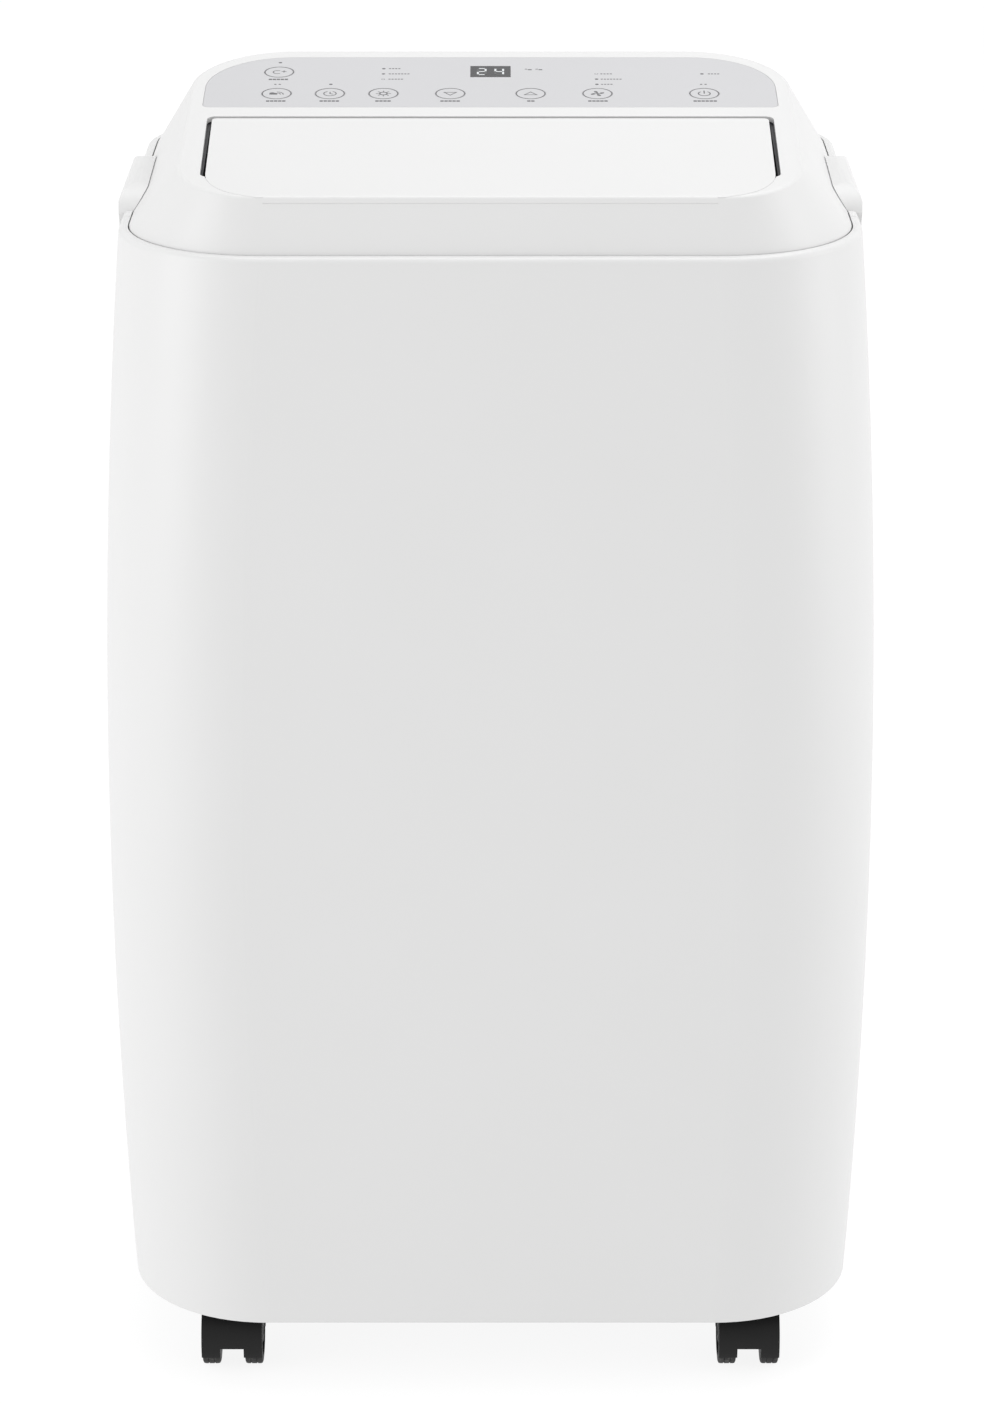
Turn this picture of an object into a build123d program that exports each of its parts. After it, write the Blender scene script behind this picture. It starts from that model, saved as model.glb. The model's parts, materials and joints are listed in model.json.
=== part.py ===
"""Floor-standing portable air conditioner, modelled as an assembly of separate pieces.

Units are millimetres. +Z is up, the front faces -Y and +X is the right-hand side seen from the
front. The origin is on the floor under the centre of the machine.
"""
from build123d import *
from math import cos, radians, sin
import os

os.makedirs("parts", exist_ok=True)

# ---------------------------------------------------------------- driving dimensions

wall = 3.0                  # thickness of the moulded shells
thin = 2.5                  # thickness of ducts and inner sheet
seam = 0.4                  # gap between neighbouring covers
running = 0.05              # radial clearance of a shaft in its bore
lift = 0.3                  # gap under and over parts that move on one another

# cabinet barrel
widest_half = 227.5         # half the width where the barrel bulges most
widest_height = 330.0
bottom_height = 47.0        # lower edge of the shells
shoulder_height = 705.0     # upper edge of the shells
bottom_taper = 8.0          # how far each side draws in by the lower edge
shoulder_taper = 15.5       # how far each side draws in by the shoulder
front_face = -191.5         # foremost point of the front
front_taper = 4.5           # how far the front draws back at its upper and lower edges
rear_face = 179.0
rear_limit = 191.5          # rearmost point of collar, hooks and spouts
front_corner = 85.0
rear_corner = 60.0
shell_split = -85.0         # where the front shell meets the rear shell
shoulder_round = 3.5

# sloping top
ridge_y = -166.0            # front edge of the sloping deck
ridge_height = 735.0
deck_slope = 9.5            # degrees, rising towards the back
deck_length = 228.6         # along the slope
deck_half = 176.0
deck_front_corner = 46.0
deck_rear_corner = 60.0
crown_half = 206.0          # the top cover where it drops into the shells
crown_front = -180.0
crown_rear = 173.0
crown_front_corner = 78.0
crown_rear_corner = 54.0
skirt_depth = 15.0
ridge_round = 2.5

# louvre flap, in the plane of the deck
flap_half = 160.0           # at its front corners
flap_rear_half = 161.0
flap_length = 118.6
flap_thick = 3.0
flap_corner = 34.0
flap_gap = 3.0
slot_front = 29.0           # where the gap beside the flap ends, round the front corner
slot_round = 5.0
hinge_inset = 10.0          # hinge line in front of the flap's rear edge
hinge_drop = 9.0            # hinge line below the deck surface
hinge_pin = 2.4

# control panel, in the plane of the deck
panel_half = 167.7
panel_front = 136.4
panel_rear = 218.0
panel_thick = 1.2
panel_front_corner = 4.0
panel_rear_corner = 50.0
key_radius = 8.8
board_drop = 10.0

# outlet duct and vertical vanes
duct_half = 162.0
duct_front = -140.0
duct_rear = -41.0
duct_bottom = 668.3
vane_count = 5
vane_pitch = 64.0
vane_height = 40.0
vane_axis_height = 696.0
vane_pin = 2.0
vane_crank = 16.0
link_pin = 1.5

# blowers
blower_axis_height = 560.0
blower_radius = 85.0
condenser_axis_x = -35.0
condenser_axis_height = 215.0
condenser_radius = 88.0
shaft_radius = 4.0

# rear wall
intake_half = 150.0
upper_intake = (540.0, 680.0)
lower_intake = (90.0, 335.0)
exhaust_height = 430.0
exhaust_bore = 72.0
deck_level = 412.0          # underside of the front partition deck
rear_deck_level = 507.0

# casters
caster_x = 158.0
caster_front_y = -130.0
caster_rear_y = 120.0
caster_trail = 16.0
wheel_radius = 20.0
wheel_width = 11.0
wheel_gap = 15.0
stem_radius = 5.5

# side handles
handle_front = -71.0
handle_rear = 55.0
handle_foot = 640.0
handle_crest = 717.0

# ---------------------------------------------------------------- shared outlines

deck = Plane(origin=(0, ridge_y, ridge_height), x_dir=(1, 0, 0),
             z_dir=(0, -sin(radians(deck_slope)), cos(radians(deck_slope))))


def side_half(height):
    """Half-width of the cabinet at a height: a parabola above the widest point and one below."""
    if height < widest_height:
        reach = (widest_height - height) / (widest_height - bottom_height)
        return widest_half - bottom_taper * reach ** 2
    reach = (height - widest_height) / (shoulder_height - widest_height)
    return widest_half - shoulder_taper * reach ** 2


def front_line(height):
    """Where the front face stands at a height."""
    middle = (bottom_height + shoulder_height) / 2
    return front_face + front_taper * ((height - middle) / (shoulder_height - middle)) ** 2


def plan_outline(half, front, rear, front_radius, rear_radius):
    """Draw, in the open sketch, a rectangle with one corner radius in front and one behind."""
    with BuildLine() as edge:
        FilletPolyline((-half, front), (half, front), (half, rear), (-half, rear), close=True,
                       radius=[front_radius, front_radius, rear_radius, rear_radius])
    make_face(edge.edges())


def cabinet_block(inset, bottom, top):
    """The barrel of the cabinet as a solid, all its upright faces moved in by inset."""
    levels = 6
    with BuildPart() as block:
        for step in range(levels + 1):
            height = bottom + (top - bottom) * step / levels
            with BuildSketch(Plane.XY.offset(height)):
                plan_outline(side_half(height) - inset, front_line(height) + inset, rear_face - inset,
                             front_corner - inset, rear_corner - inset)
        loft()
    return block.part


def cover_block(inset, base):
    """The sloping crown of the top cover as a solid, all its faces moved in by inset."""
    with BuildPart() as block:
        with BuildSketch(Plane.XY.offset(base)):
            plan_outline(crown_half - inset, crown_front + inset, crown_rear - inset,
                         crown_front_corner - inset, crown_rear_corner - inset)
        with BuildSketch(deck.offset(-inset)):
            plan_outline(deck_half - inset, inset, deck_length - inset,
                         deck_front_corner - inset, deck_rear_corner - inset)
        loft()
    return block.part


def deck_point(x, along, below=0.0):
    """A point of the deck plane, given along the slope and below its surface."""
    return deck.from_local_coords(Vector(x, along, -below))


hinge_point = deck_point(0, flap_length - hinge_inset, hinge_drop)
cabinet_outer = cabinet_block(0, bottom_height, shoulder_height)
cabinet_outer = fillet(cabinet_outer.edges().group_by(Axis.Z)[-1], shoulder_round)
cabinet_inner = cabinet_block(wall, bottom_height - 1, shoulder_height - wall)
cabinet_fit = cabinet_block(wall + 0.5, bottom_height, shoulder_height - 2 * wall)
crown_outer = cover_block(0, shoulder_height)
crown_outer = fillet(crown_outer.faces().sort_by(Axis.Z)[-1].edges(), ridge_round)
crown_inner = cover_block(wall, shoulder_height)
crown_clear = cover_block(-2 * seam, shoulder_height - 2 * seam)

# ---------------------------------------------------------------- cabinet

caster_places = {
    "front_left": (-caster_x, caster_front_y), "front_right": (caster_x, caster_front_y),
    "rear_left": (-caster_x, caster_rear_y), "rear_right": (caster_x, caster_rear_y),
}
caster_boss = 9.0
socket_depth = 16.0
pan_top = 72.0
drain_x = 60.0
drain_height = 61.0
drain_radius = 8.0
drain_bore = 5.0
drain_end = 188.5
screw_radius = 2.0
lower_screws = [(x, 60.0) for x in (-140.0, 0.0, 140.0)]
upper_screws = [(x, 697.0) for x in (-100.0, 0.0, 100.0)]
cord_place = (125.0, 365.0)
cord_gland = 8.0
tray_level = 510.3
tray_spout = (-120.0, 519.0)
grille_ledge = 4.0

pan_core = cabinet_block(2 * wall + 0.5, bottom_height, shoulder_height - 3 * wall)
pan_core = pan_core.moved(Location((0, 0, wall)))


def wall_plane(y):
    """Upright plane at y that looks forward; a negative extrusion runs to the back."""
    return Plane.XZ.offset(-y)


# base pan: a tray with caster sockets below and the lower drain spout behind
with BuildPart() as base_pan:
    add(cabinet_fit)
    with BuildSketch(Plane.XY.offset(pan_top)):
        Rectangle(2 * shoulder_height, 2 * shoulder_height)
    extrude(amount=shoulder_height, mode=Mode.SUBTRACT)
    add(pan_core, mode=Mode.SUBTRACT)
    with BuildSketch(Plane.XY.offset(bottom_height)):
        with Locations(*caster_places.values()):
            Circle(caster_boss)
    extrude(amount=socket_depth + wall)
    with BuildSketch(Plane.XY.offset(bottom_height)):
        with Locations(*caster_places.values()):
            Circle(stem_radius + running)
    extrude(amount=socket_depth, mode=Mode.SUBTRACT)
    with BuildSketch(wall_plane(rear_face - 2 * wall)):
        with Locations((drain_x, drain_height)):
            Circle(drain_radius)
    extrude(amount=-(drain_end - rear_face + 2 * wall))
    with BuildSketch(wall_plane(rear_face - 4 * wall)):
        with Locations((drain_x, drain_height)):
            Circle(drain_bore)
        with Locations(*lower_screws):
            Circle(screw_radius + running)
    extrude(amount=-10 * wall, mode=Mode.SUBTRACT)
base_pan.part.label = "base_pan"
export_step(base_pan.part, "parts/base_pan.step")

# both shells share the barrel wall and the opening for the top cover
with BuildPart() as barrel:
    add(cabinet_outer)
    add(cabinet_inner, mode=Mode.SUBTRACT)
    with BuildSketch(Plane.XY.offset(shoulder_height - 10)):
        plan_outline(crown_half + 2 * seam, crown_front - 2 * seam, crown_rear + 2 * seam,
                     crown_front_corner, crown_rear_corner)
    extrude(amount=20, mode=Mode.SUBTRACT)

# front shell: the whole front and the first part of each side
with BuildPart() as front_shell:
    add(barrel.part)
    split(bisect_by=wall_plane(shell_split), keep=Keep.TOP)
front_shell.part.label = "front_shell"
export_step(front_shell.part, "parts/front_shell.step")

# rear shell: back and sides, with the two intake windows, the hose hole and the handle windows
intakes = [upper_intake, lower_intake]
with BuildPart() as rear_shell:
    add(barrel.part)
    split(bisect_by=wall_plane(shell_split + seam), keep=Keep.BOTTOM)
    for low, high in intakes:
        with BuildSketch(wall_plane(rear_face - 10)):
            with Locations((0, (low + high) / 2)):
                Rectangle(2 * (intake_half + wall), high - low + 2 * wall)
        extrude(amount=-7.5)
    for low, high in intakes:
        with BuildSketch(wall_plane(rear_face - 5)):
            with Locations((0, (low + high) / 2)):
                Rectangle(2 * intake_half, high - low)
        extrude(amount=-10, mode=Mode.SUBTRACT)
        with BuildSketch(wall_plane(rear_face - 12)):
            with Locations((0, (low + high) / 2)):
                Rectangle(2 * (intake_half - grille_ledge), high - low - 2 * grille_ledge)
        extrude(amount=-20, mode=Mode.SUBTRACT)
    with BuildSketch(wall_plane(rear_face - 12)):
        with Locations((0, exhaust_height)):
            Circle(exhaust_bore + wall + 1)
        with Locations((drain_x, drain_height), tray_spout):
            Circle(drain_radius + seam)
        with Locations(cord_place):
            Circle(cord_gland)
        with Locations(*lower_screws, *upper_screws):
            Circle(screw_radius + running)
    extrude(amount=-20, mode=Mode.SUBTRACT)
    with BuildSketch(Plane.XY.offset(handle_foot)):
        with Locations((0, (handle_front + handle_rear) / 2)):
            Rectangle(4 * caster_x, handle_rear - handle_front)
            Rectangle(2 * caster_x, handle_rear - handle_front, mode=Mode.SUBTRACT)
    extrude(amount=80, mode=Mode.SUBTRACT)
rear_shell.part.label = "rear_shell"
export_step(rear_shell.part, "parts/rear_shell.step")

# ---------------------------------------------------------------- top cover, flap and panel

key_row = 158.2             # along the deck
keys = {
    "key_sleep": (-125.5, 193.5), "key_swing": (-125.5, key_row), "key_timer": (-94.2, key_row),
    "key_mode": (-62.8, key_row), "key_down": (-23.6, key_row), "key_up": (23.6, key_row),
    "key_speed": (62.8, key_row), "key_power": (125.5, key_row),
}
lamp_radius = 1.1
lamps = [(-125.5, 209.3), (-94.2, 173.3), (125.5, 190.5),
         (-63.5, 199.2), (-63.5, 190.5), (-63.5, 181.8),
         (62.8, 190.5), (62.8, 181.8), (62.8, 173.3)]
display_place = (0.0, 194.4)
display_size = (24.0, 18.6)
post_places = [(x, y) for x in (-159.0, 159.0) for y in (151.0, 196.0)]
post_radius = 3.5
board_thick = 1.6


def flap_outline(grow, gap):
    """Draw the flap's outline, grown by grow, with its rear edge moved back by gap."""
    half = flap_half + grow
    rear_half = flap_rear_half + grow
    with BuildLine() as edge:
        Polyline((flap_half - flap_corner, -grow), (flap_half - flap_corner, -10),
                 (flap_corner - flap_half, -10), (flap_corner - flap_half, -grow))
        RadiusArc((flap_corner - flap_half, -grow), (-half, flap_corner), flap_corner + grow)
        Polyline((-half, flap_corner), (-rear_half, flap_length + gap),
                 (rear_half, flap_length + gap), (half, flap_corner))
        RadiusArc((half, flap_corner), (flap_half - flap_corner, -grow), flap_corner + grow)
    make_face(edge.edges())


def slot_outline():
    """Draw the opening under the flap, wider than the flap by a gap at the sides and the rear."""
    front_half = flap_half + flap_gap
    rear_half = flap_rear_half + flap_gap
    rear = flap_length + flap_gap
    with BuildLine() as edge:
        FilletPolyline((-front_half, slot_front), (front_half, slot_front), (rear_half, rear),
                       (-rear_half, rear), close=True, radius=slot_round)
    make_face(edge.edges())


# top cover: sloping crown with skirt, flap opening, panel recess and posts for the board
with BuildPart() as top_cover:
    add(crown_outer)
    with BuildSketch(Plane.XY.offset(shoulder_height - skirt_depth)):
        plan_outline(crown_half, crown_front, crown_rear, crown_front_corner, crown_rear_corner)
    extrude(amount=skirt_depth)
    add(crown_inner, mode=Mode.SUBTRACT)
    with BuildSketch(Plane.XY.offset(shoulder_height - skirt_depth)):
        plan_outline(crown_half - wall, crown_front + wall, crown_rear - wall,
                     crown_front_corner - wall, crown_rear_corner - wall)
    extrude(amount=skirt_depth, mode=Mode.SUBTRACT)
    with BuildSketch(deck.offset(-flap_thick - seam)):
        flap_outline(seam, 0)
    extrude(amount=20, mode=Mode.SUBTRACT)
    with BuildSketch(deck.offset(-3 * wall)):
        slot_outline()
    extrude(amount=20, mode=Mode.SUBTRACT)
    with BuildSketch(deck.offset(-panel_thick)):
        plan_outline(panel_half + seam / 2, panel_front - seam / 2, panel_rear + seam / 2,
                     panel_front_corner, panel_rear_corner)
    extrude(amount=10, mode=Mode.SUBTRACT)
    with BuildSketch(deck.offset(-3 * wall)):
        plan_outline(154, 142, 213, 4, 40)
    extrude(amount=20, mode=Mode.SUBTRACT)
    with BuildSketch(deck.offset(-board_drop)):
        with Locations(*post_places):
            Circle(post_radius)
    extrude(amount=board_drop - wall + 0.5)
    with BuildSketch(Plane.XY.offset(shoulder_height - skirt_depth - 1)):
        with Locations((0, (handle_front + handle_rear) / 2)):
            Rectangle(4 * caster_x, handle_rear - handle_front + 8)
            Rectangle(2 * caster_x, handle_rear - handle_front + 8, mode=Mode.SUBTRACT)
    extrude(amount=skirt_depth + 0.6, mode=Mode.SUBTRACT)
    with BuildSketch(wall_plane(crown_rear - 5)):
        with Locations(*upper_screws):
            Circle(screw_radius + running)
    extrude(amount=-10, mode=Mode.SUBTRACT)
top_cover.part.label = "top_cover"
export_step(top_cover.part, "parts/top_cover.step")

# louvre flap: its top and front edge are cut from the crown itself, so that it closes flush
ear_place = 155.0
ear_thick = 4.0
ear_radius = 5.0
with BuildPart() as louver_flap:
    with BuildSketch(deck.offset(-flap_thick)):
        flap_outline(0, 0)
    extrude(amount=flap_thick + 2)
    rear_corners = louver_flap.edges().filter_by(Axis((0, 0, 0), deck.z_dir)).sort_by(Axis.Y)[-2:]
    fillet(rear_corners, 3)
    add(crown_outer, mode=Mode.INTERSECT)
    with BuildSketch(deck.offset(-flap_thick - 5)):
        with Locations((0, 9)):
            Rectangle(2 * (flap_half - flap_corner), 2)
        with Locations((0, 85)):
            Rectangle(2 * (ear_place - 2), 2)
    extrude(amount=5.5)
    with BuildSketch(deck.offset(-hinge_drop)):
        with Locations((-ear_place, flap_length - hinge_inset), (ear_place, flap_length - hinge_inset)):
            Rectangle(ear_thick, 2 * ear_radius)
    extrude(amount=hinge_drop - flap_thick + 0.5)
    for side in (-1, 1):
        with BuildSketch(Plane.YZ.offset(side * ear_place - ear_thick / 2)):
            with Locations((hinge_point.Y, hinge_point.Z)):
                Circle(ear_radius)
        extrude(amount=ear_thick)
    with BuildSketch(Plane.YZ.offset(ear_place - ear_thick)):
        with Locations((hinge_point.Y, hinge_point.Z)):
            Circle(hinge_pin + running)
    extrude(amount=2 * ear_thick, mode=Mode.SUBTRACT)
    with BuildSketch(Plane.YZ.offset(-ear_place)):
        with Locations((hinge_point.Y, hinge_point.Z)):
            Circle(hinge_pin)
    extrude(amount=-(duct_half + thin - 0.7 - ear_place))
louver_flap.part.label = "louver_flap"
export_step(louver_flap.part, "parts/louver_flap.step")

# flap motor: a flat stepper whose shaft sits off its centre and drives the flap's right ear
motor_offset = 8.0
with BuildPart() as flap_motor:
    with BuildSketch(Plane.YZ.offset(duct_half + thin)):
        with Locations((hinge_point.Y, hinge_point.Z - motor_offset)):
            Circle(11)
            Rectangle(34, 7)
    extrude(amount=8.5)
    with BuildSketch(Plane.YZ.offset(duct_half + thin)):
        with Locations((hinge_point.Y, hinge_point.Z)):
            Circle(hinge_pin)
    extrude(amount=-(duct_half + thin - ear_place + ear_thick / 2))
flap_motor.part.label = "flap_motor"
export_step(flap_motor.part, "parts/flap_motor.step")

# control panel: the grey overlay with its key holes, lamp holes and display window
with BuildPart() as control_panel:
    with BuildSketch(deck.offset(-panel_thick)):
        plan_outline(panel_half, panel_front, panel_rear, panel_front_corner, panel_rear_corner)
        with Locations(*keys.values()):
            Circle(key_radius + seam / 2, mode=Mode.SUBTRACT)
        with Locations(*lamps):
            Circle(lamp_radius, mode=Mode.SUBTRACT)
        with Locations(display_place):
            Rectangle(*display_size, mode=Mode.SUBTRACT)
    extrude(amount=panel_thick)
control_panel.part.label = "control_panel"
export_step(control_panel.part, "parts/control_panel.step")

# display window: smoked plate with a rim that holds it under the panel
with BuildPart() as display_window:
    with BuildSketch(deck.offset(-panel_thick)):
        with Locations(display_place):
            Rectangle(*display_size)
    extrude(amount=panel_thick)
    with BuildSketch(deck.offset(-2 * panel_thick)):
        with Locations(display_place):
            Rectangle(display_size[0] + 4, display_size[1] + 4)
    extrude(amount=panel_thick)
display_window.part.label = "display_window"
export_step(display_window.part, "parts/display_window.step")

# display module: the two-digit block on the board
with BuildPart() as display_module:
    with BuildSketch(deck.offset(-board_drop)):
        with Locations(display_place):
            Rectangle(*display_size)
    extrude(amount=board_drop - 2 * panel_thick - lift)
display_module.part.label = "display_module"
export_step(display_module.part, "parts/display_module.step")

# indicator lamps: light pipes that stand on the board
with BuildPart() as indicator_lamps:
    with BuildSketch(deck.offset(-board_drop)):
        with Locations(*lamps):
            Circle(lamp_radius)
    extrude(amount=board_drop)
indicator_lamps.part.label = "indicator_lamps"
export_step(indicator_lamps.part, "parts/indicator_lamps.step")

# control board: carrier with one tact switch under each key
with BuildPart() as control_board:
    with BuildSketch(deck.offset(-board_drop - board_thick)):
        plan_outline(163, 146, 212, 3, 42)
    extrude(amount=board_thick)
    with BuildSketch(deck.offset(-board_drop)):
        with Locations(*keys.values()):
            Rectangle(6, 6)
    extrude(amount=3.5)
    with BuildSketch(deck.offset(-board_drop)):
        with Locations(*keys.values()):
            Circle(1.6)
    extrude(amount=4)
control_board.part.label = "control_board"
export_step(control_board.part, "parts/control_board.step")

# keys: round caps flush with the panel, each with a rim below it and a stem over its switch
for name, place in keys.items():
    with BuildPart() as key:
        with BuildSketch(deck.offset(-panel_thick - 0.9)):
            with Locations(place):
                Circle(key_radius)
        extrude(amount=panel_thick + 0.9)
        with BuildSketch(deck.offset(-panel_thick - 0.9)):
            with Locations(place):
                Circle(key_radius + 1)
        extrude(amount=0.8)
        with BuildSketch(deck.offset(-5.4)):
            with Locations(place):
                Circle(2.5)
        extrude(amount=4)
    key.part.label = name
    export_step(key.part, "parts/" + name + ".step")

# ---------------------------------------------------------------- outlet duct and vanes

vane_places = [vane_pitch * (i - (vane_count - 1) / 2) for i in range(vane_count)]
vane_front = duct_front + 6.0
vane_rear = duct_rear - 6.0

# outlet duct: four walls from the blower up to the flap
with BuildPart() as outlet_duct:
    with BuildSketch(Plane.XY.offset(duct_bottom)):
        with Locations((0, (duct_front + duct_rear) / 2)):
            Rectangle(2 * (duct_half + thin), duct_rear - duct_front + 2 * thin)
            Rectangle(2 * duct_half, duct_rear - duct_front, mode=Mode.SUBTRACT)
    extrude(amount=120)
    split(bisect_by=deck.offset(-wall - 1), keep=Keep.BOTTOM)
    with BuildSketch(Plane.YZ.offset(-duct_half - 10)):
        with Locations((hinge_point.Y, hinge_point.Z)):
            Circle(hinge_pin + running)
    extrude(amount=2 * duct_half + 20, mode=Mode.SUBTRACT)
    with BuildSketch(wall_plane(duct_front - 10)):
        with Locations(*[(x, vane_axis_height) for x in vane_places]):
            Circle(vane_pin + running)
    extrude(amount=-(duct_rear - duct_front + 20), mode=Mode.SUBTRACT)
outlet_duct.part.label = "outlet_duct"
export_step(outlet_duct.part, "parts/outlet_duct.step")

# vanes: upright blades that tilt from side to side on a pin at each end
for number, x in enumerate(vane_places, 1):
    with BuildPart() as vane:
        with BuildSketch(wall_plane(vane_front)):
            with Locations((x, vane_axis_height)):
                Rectangle(2, vane_height)
                Circle(2.6)
        extrude(amount=-(vane_rear - vane_front))
        with BuildSketch(wall_plane(duct_front - thin + 0.2)):
            with Locations((x, vane_axis_height)):
                Circle(vane_pin)
        extrude(amount=-(duct_rear - duct_front + 2 * thin - 0.4))
        with BuildSketch(wall_plane(vane_front - 5)):
            with Locations((x, vane_axis_height - vane_crank)):
                Circle(link_pin)
        extrude(amount=-7)
    vane.part.label = "vane_" + str(number)
    export_step(vane.part, "parts/vane_" + str(number) + ".step")

# vane link: the bar that makes the vanes tilt together
with BuildPart() as vane_link:
    with BuildSketch(wall_plane(vane_front - 4.6)):
        with Locations((0, vane_axis_height - vane_crank)):
            SlotOverall(vane_places[-1] - vane_places[0] + 10, 8)
        with Locations(*[(x, vane_axis_height - vane_crank) for x in vane_places]):
            Circle(link_pin + running, mode=Mode.SUBTRACT)
    extrude(amount=-3.8)
vane_link.part.label = "vane_link"
export_step(vane_link.part, "parts/vane_link.step")

# ---------------------------------------------------------------- blowers

blade_count = 36
tongue_gap = 7.0
volute_growth = 33.0
shaft_hole = 6.0
blower_front = -140.5
blower_rear = -40.5
condenser_front = 10.0
condenser_rear = 88.0
condenser_outlet = 90.0
condenser_outlet_top = 345.0
motor_radius = 42.0


def volute_outline(centre, tongue_angle, radius, outlet, outlet_top, inset):
    """Draw a blower's spiral outline, from the tongue round the bottom to the outlet."""
    def rim(angle):
        """Point of the spiral at an angle, with the radius growing steadily from the tongue."""
        reach = radius + tongue_gap + volute_growth * (angle - tongue_angle) / (360 - tongue_angle)
        return (centre[0] + reach * cos(radians(angle)), centre[1] + reach * sin(radians(angle)))

    with BuildLine() as edge:
        ThreePointArc(rim(tongue_angle), rim((tongue_angle + 270) / 2), rim(270))
        ThreePointArc(rim(270), rim(315), rim(360))
        Polyline(rim(360), (outlet, outlet_top), (-outlet, outlet_top), rim(tongue_angle))
    make_face(edge.edges())
    if inset:
        offset(amount=-inset, mode=Mode.REPLACE)


def scroll_case(centre, tongue_angle, radius, outlet, outlet_top, front, rear, floor):
    """A blower housing on a foot: closed in front, with an inlet behind and the outlet on top."""
    with BuildPart() as case:
        with BuildSketch(wall_plane(front)):
            volute_outline(centre, tongue_angle, radius, outlet, outlet_top, 0)
        extrude(amount=-(rear - front))
        with BuildSketch(Plane.XY.offset(floor)):
            with Locations((centre[0], (front + rear) / 2)):
                Rectangle(radius, (rear - front) * 0.8)
        extrude(amount=centre[1] - floor - radius)
        with BuildSketch(wall_plane(front + thin)):
            volute_outline(centre, tongue_angle, radius, outlet, outlet_top, thin)
        extrude(amount=-(rear - front - 2 * thin), mode=Mode.SUBTRACT)
        with BuildSketch(Plane.XY.offset(outlet_top - 4 * thin)):
            with Locations((0, (front + rear) / 2)):
                Rectangle(2 * (outlet - thin - 4), rear - front - 2 * thin)
        extrude(amount=20, mode=Mode.SUBTRACT)
        with BuildSketch(wall_plane(rear - 2 * thin)):
            with Locations(centre):
                Circle(radius - 12)
        extrude(amount=-20, mode=Mode.SUBTRACT)
        with BuildSketch(wall_plane(front - thin)):
            with Locations(centre):
                Circle(shaft_hole)
        extrude(amount=-4 * thin, mode=Mode.SUBTRACT)
    return case.part


def cage_wheel(centre, radius, front, rear):
    """A squirrel-cage wheel: hub disc in front, ring behind and forward-curved blades between."""
    with BuildPart() as wheel:
        with BuildSketch(wall_plane(front)):
            with Locations(centre):
                Circle(radius)
                Circle(shaft_radius + running, mode=Mode.SUBTRACT)
        extrude(amount=-2)
        with BuildSketch(wall_plane(front)):
            with Locations(centre):
                Circle(12)
                Circle(shaft_radius + running, mode=Mode.SUBTRACT)
        extrude(amount=-28)
        with BuildSketch(wall_plane(rear - 4)):
            with Locations(centre):
                Circle(radius)
                Circle(radius - 4, mode=Mode.SUBTRACT)
        extrude(amount=-4)
        with BuildSketch(wall_plane(front)):
            with Locations(Location((centre[0], centre[1]))):
                with PolarLocations(radius - 9.5, blade_count):
                    Rectangle(15, 1.6, rotation=-28)
        extrude(amount=-(rear - front))
    return wheel.part


def fan_motor(centre, face, shaft_end, length):
    """A fan motor in front of a housing's face, with its shaft running back into the wheel."""
    with BuildPart() as motor:
        with BuildSketch(wall_plane(face - length)):
            with Locations(centre):
                Circle(motor_radius)
        extrude(amount=-length)
        fillet(motor.edges().group_by(Axis.Y)[0], 8)
        with BuildSketch(wall_plane(face - length)):
            with Locations(centre):
                Circle(shaft_radius)
        extrude(amount=-(shaft_end - face + length))
    return motor.part


blower_centre = (0.0, blower_axis_height)
condenser_centre = (condenser_axis_x, condenser_axis_height)
blower_parts = {
    "blower_scroll": scroll_case(blower_centre, 155, blower_radius, duct_half + thin, duct_bottom - lift,
                                 blower_front, blower_rear, deck_level + wall),
    "blower_wheel": cage_wheel(blower_centre, blower_radius, blower_front + 7, blower_rear - 8),
    "blower_motor": fan_motor(blower_centre, blower_front, blower_front + 33, 41),
    "condenser_scroll": scroll_case(condenser_centre, 125, condenser_radius, condenser_outlet + thin,
                                    condenser_outlet_top, condenser_front, condenser_rear,
                                    bottom_height + wall),
    "condenser_wheel": cage_wheel(condenser_centre, condenser_radius, condenser_front + 7,
                                  condenser_rear - 8),
    "condenser_motor": fan_motor(condenser_centre, condenser_front, condenser_front + 33, 44),
}
for name, piece in blower_parts.items():
    piece.label = name
    export_step(piece, "parts/" + name + ".step")

# exhaust duct: carries the hot air from the lower blower back to the hose collar
exhaust_duct_rear = 158.0
exhaust_duct_top = 505.0
with BuildPart() as exhaust_duct:
    with BuildSketch(Plane.XY.offset(condenser_outlet_top + lift)):
        with Locations((0, (condenser_front + exhaust_duct_rear) / 2)):
            Rectangle(2 * (condenser_outlet + thin), exhaust_duct_rear - condenser_front)
    extrude(amount=exhaust_duct_top - condenser_outlet_top - lift)
    with BuildSketch(Plane.XY.offset(condenser_outlet_top + lift + thin)):
        with Locations((0, (condenser_front + exhaust_duct_rear) / 2)):
            Rectangle(2 * condenser_outlet, exhaust_duct_rear - condenser_front - 2 * thin)
    extrude(amount=exhaust_duct_top - condenser_outlet_top - lift - 2 * thin, mode=Mode.SUBTRACT)
    with BuildSketch(Plane.XY.offset(condenser_outlet_top - thin)):
        with Locations((0, (condenser_front + condenser_rear) / 2)):
            Rectangle(2 * condenser_outlet, condenser_rear - condenser_front - 2 * thin)
    extrude(amount=4 * thin, mode=Mode.SUBTRACT)
    with BuildSketch(wall_plane(exhaust_duct_rear - 2 * thin)):
        with Locations((0, exhaust_height)):
            Circle(exhaust_bore + 2)
    extrude(amount=-4 * thin, mode=Mode.SUBTRACT)
exhaust_duct.part.label = "exhaust_duct"
export_step(exhaust_duct.part, "parts/exhaust_duct.step")

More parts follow.
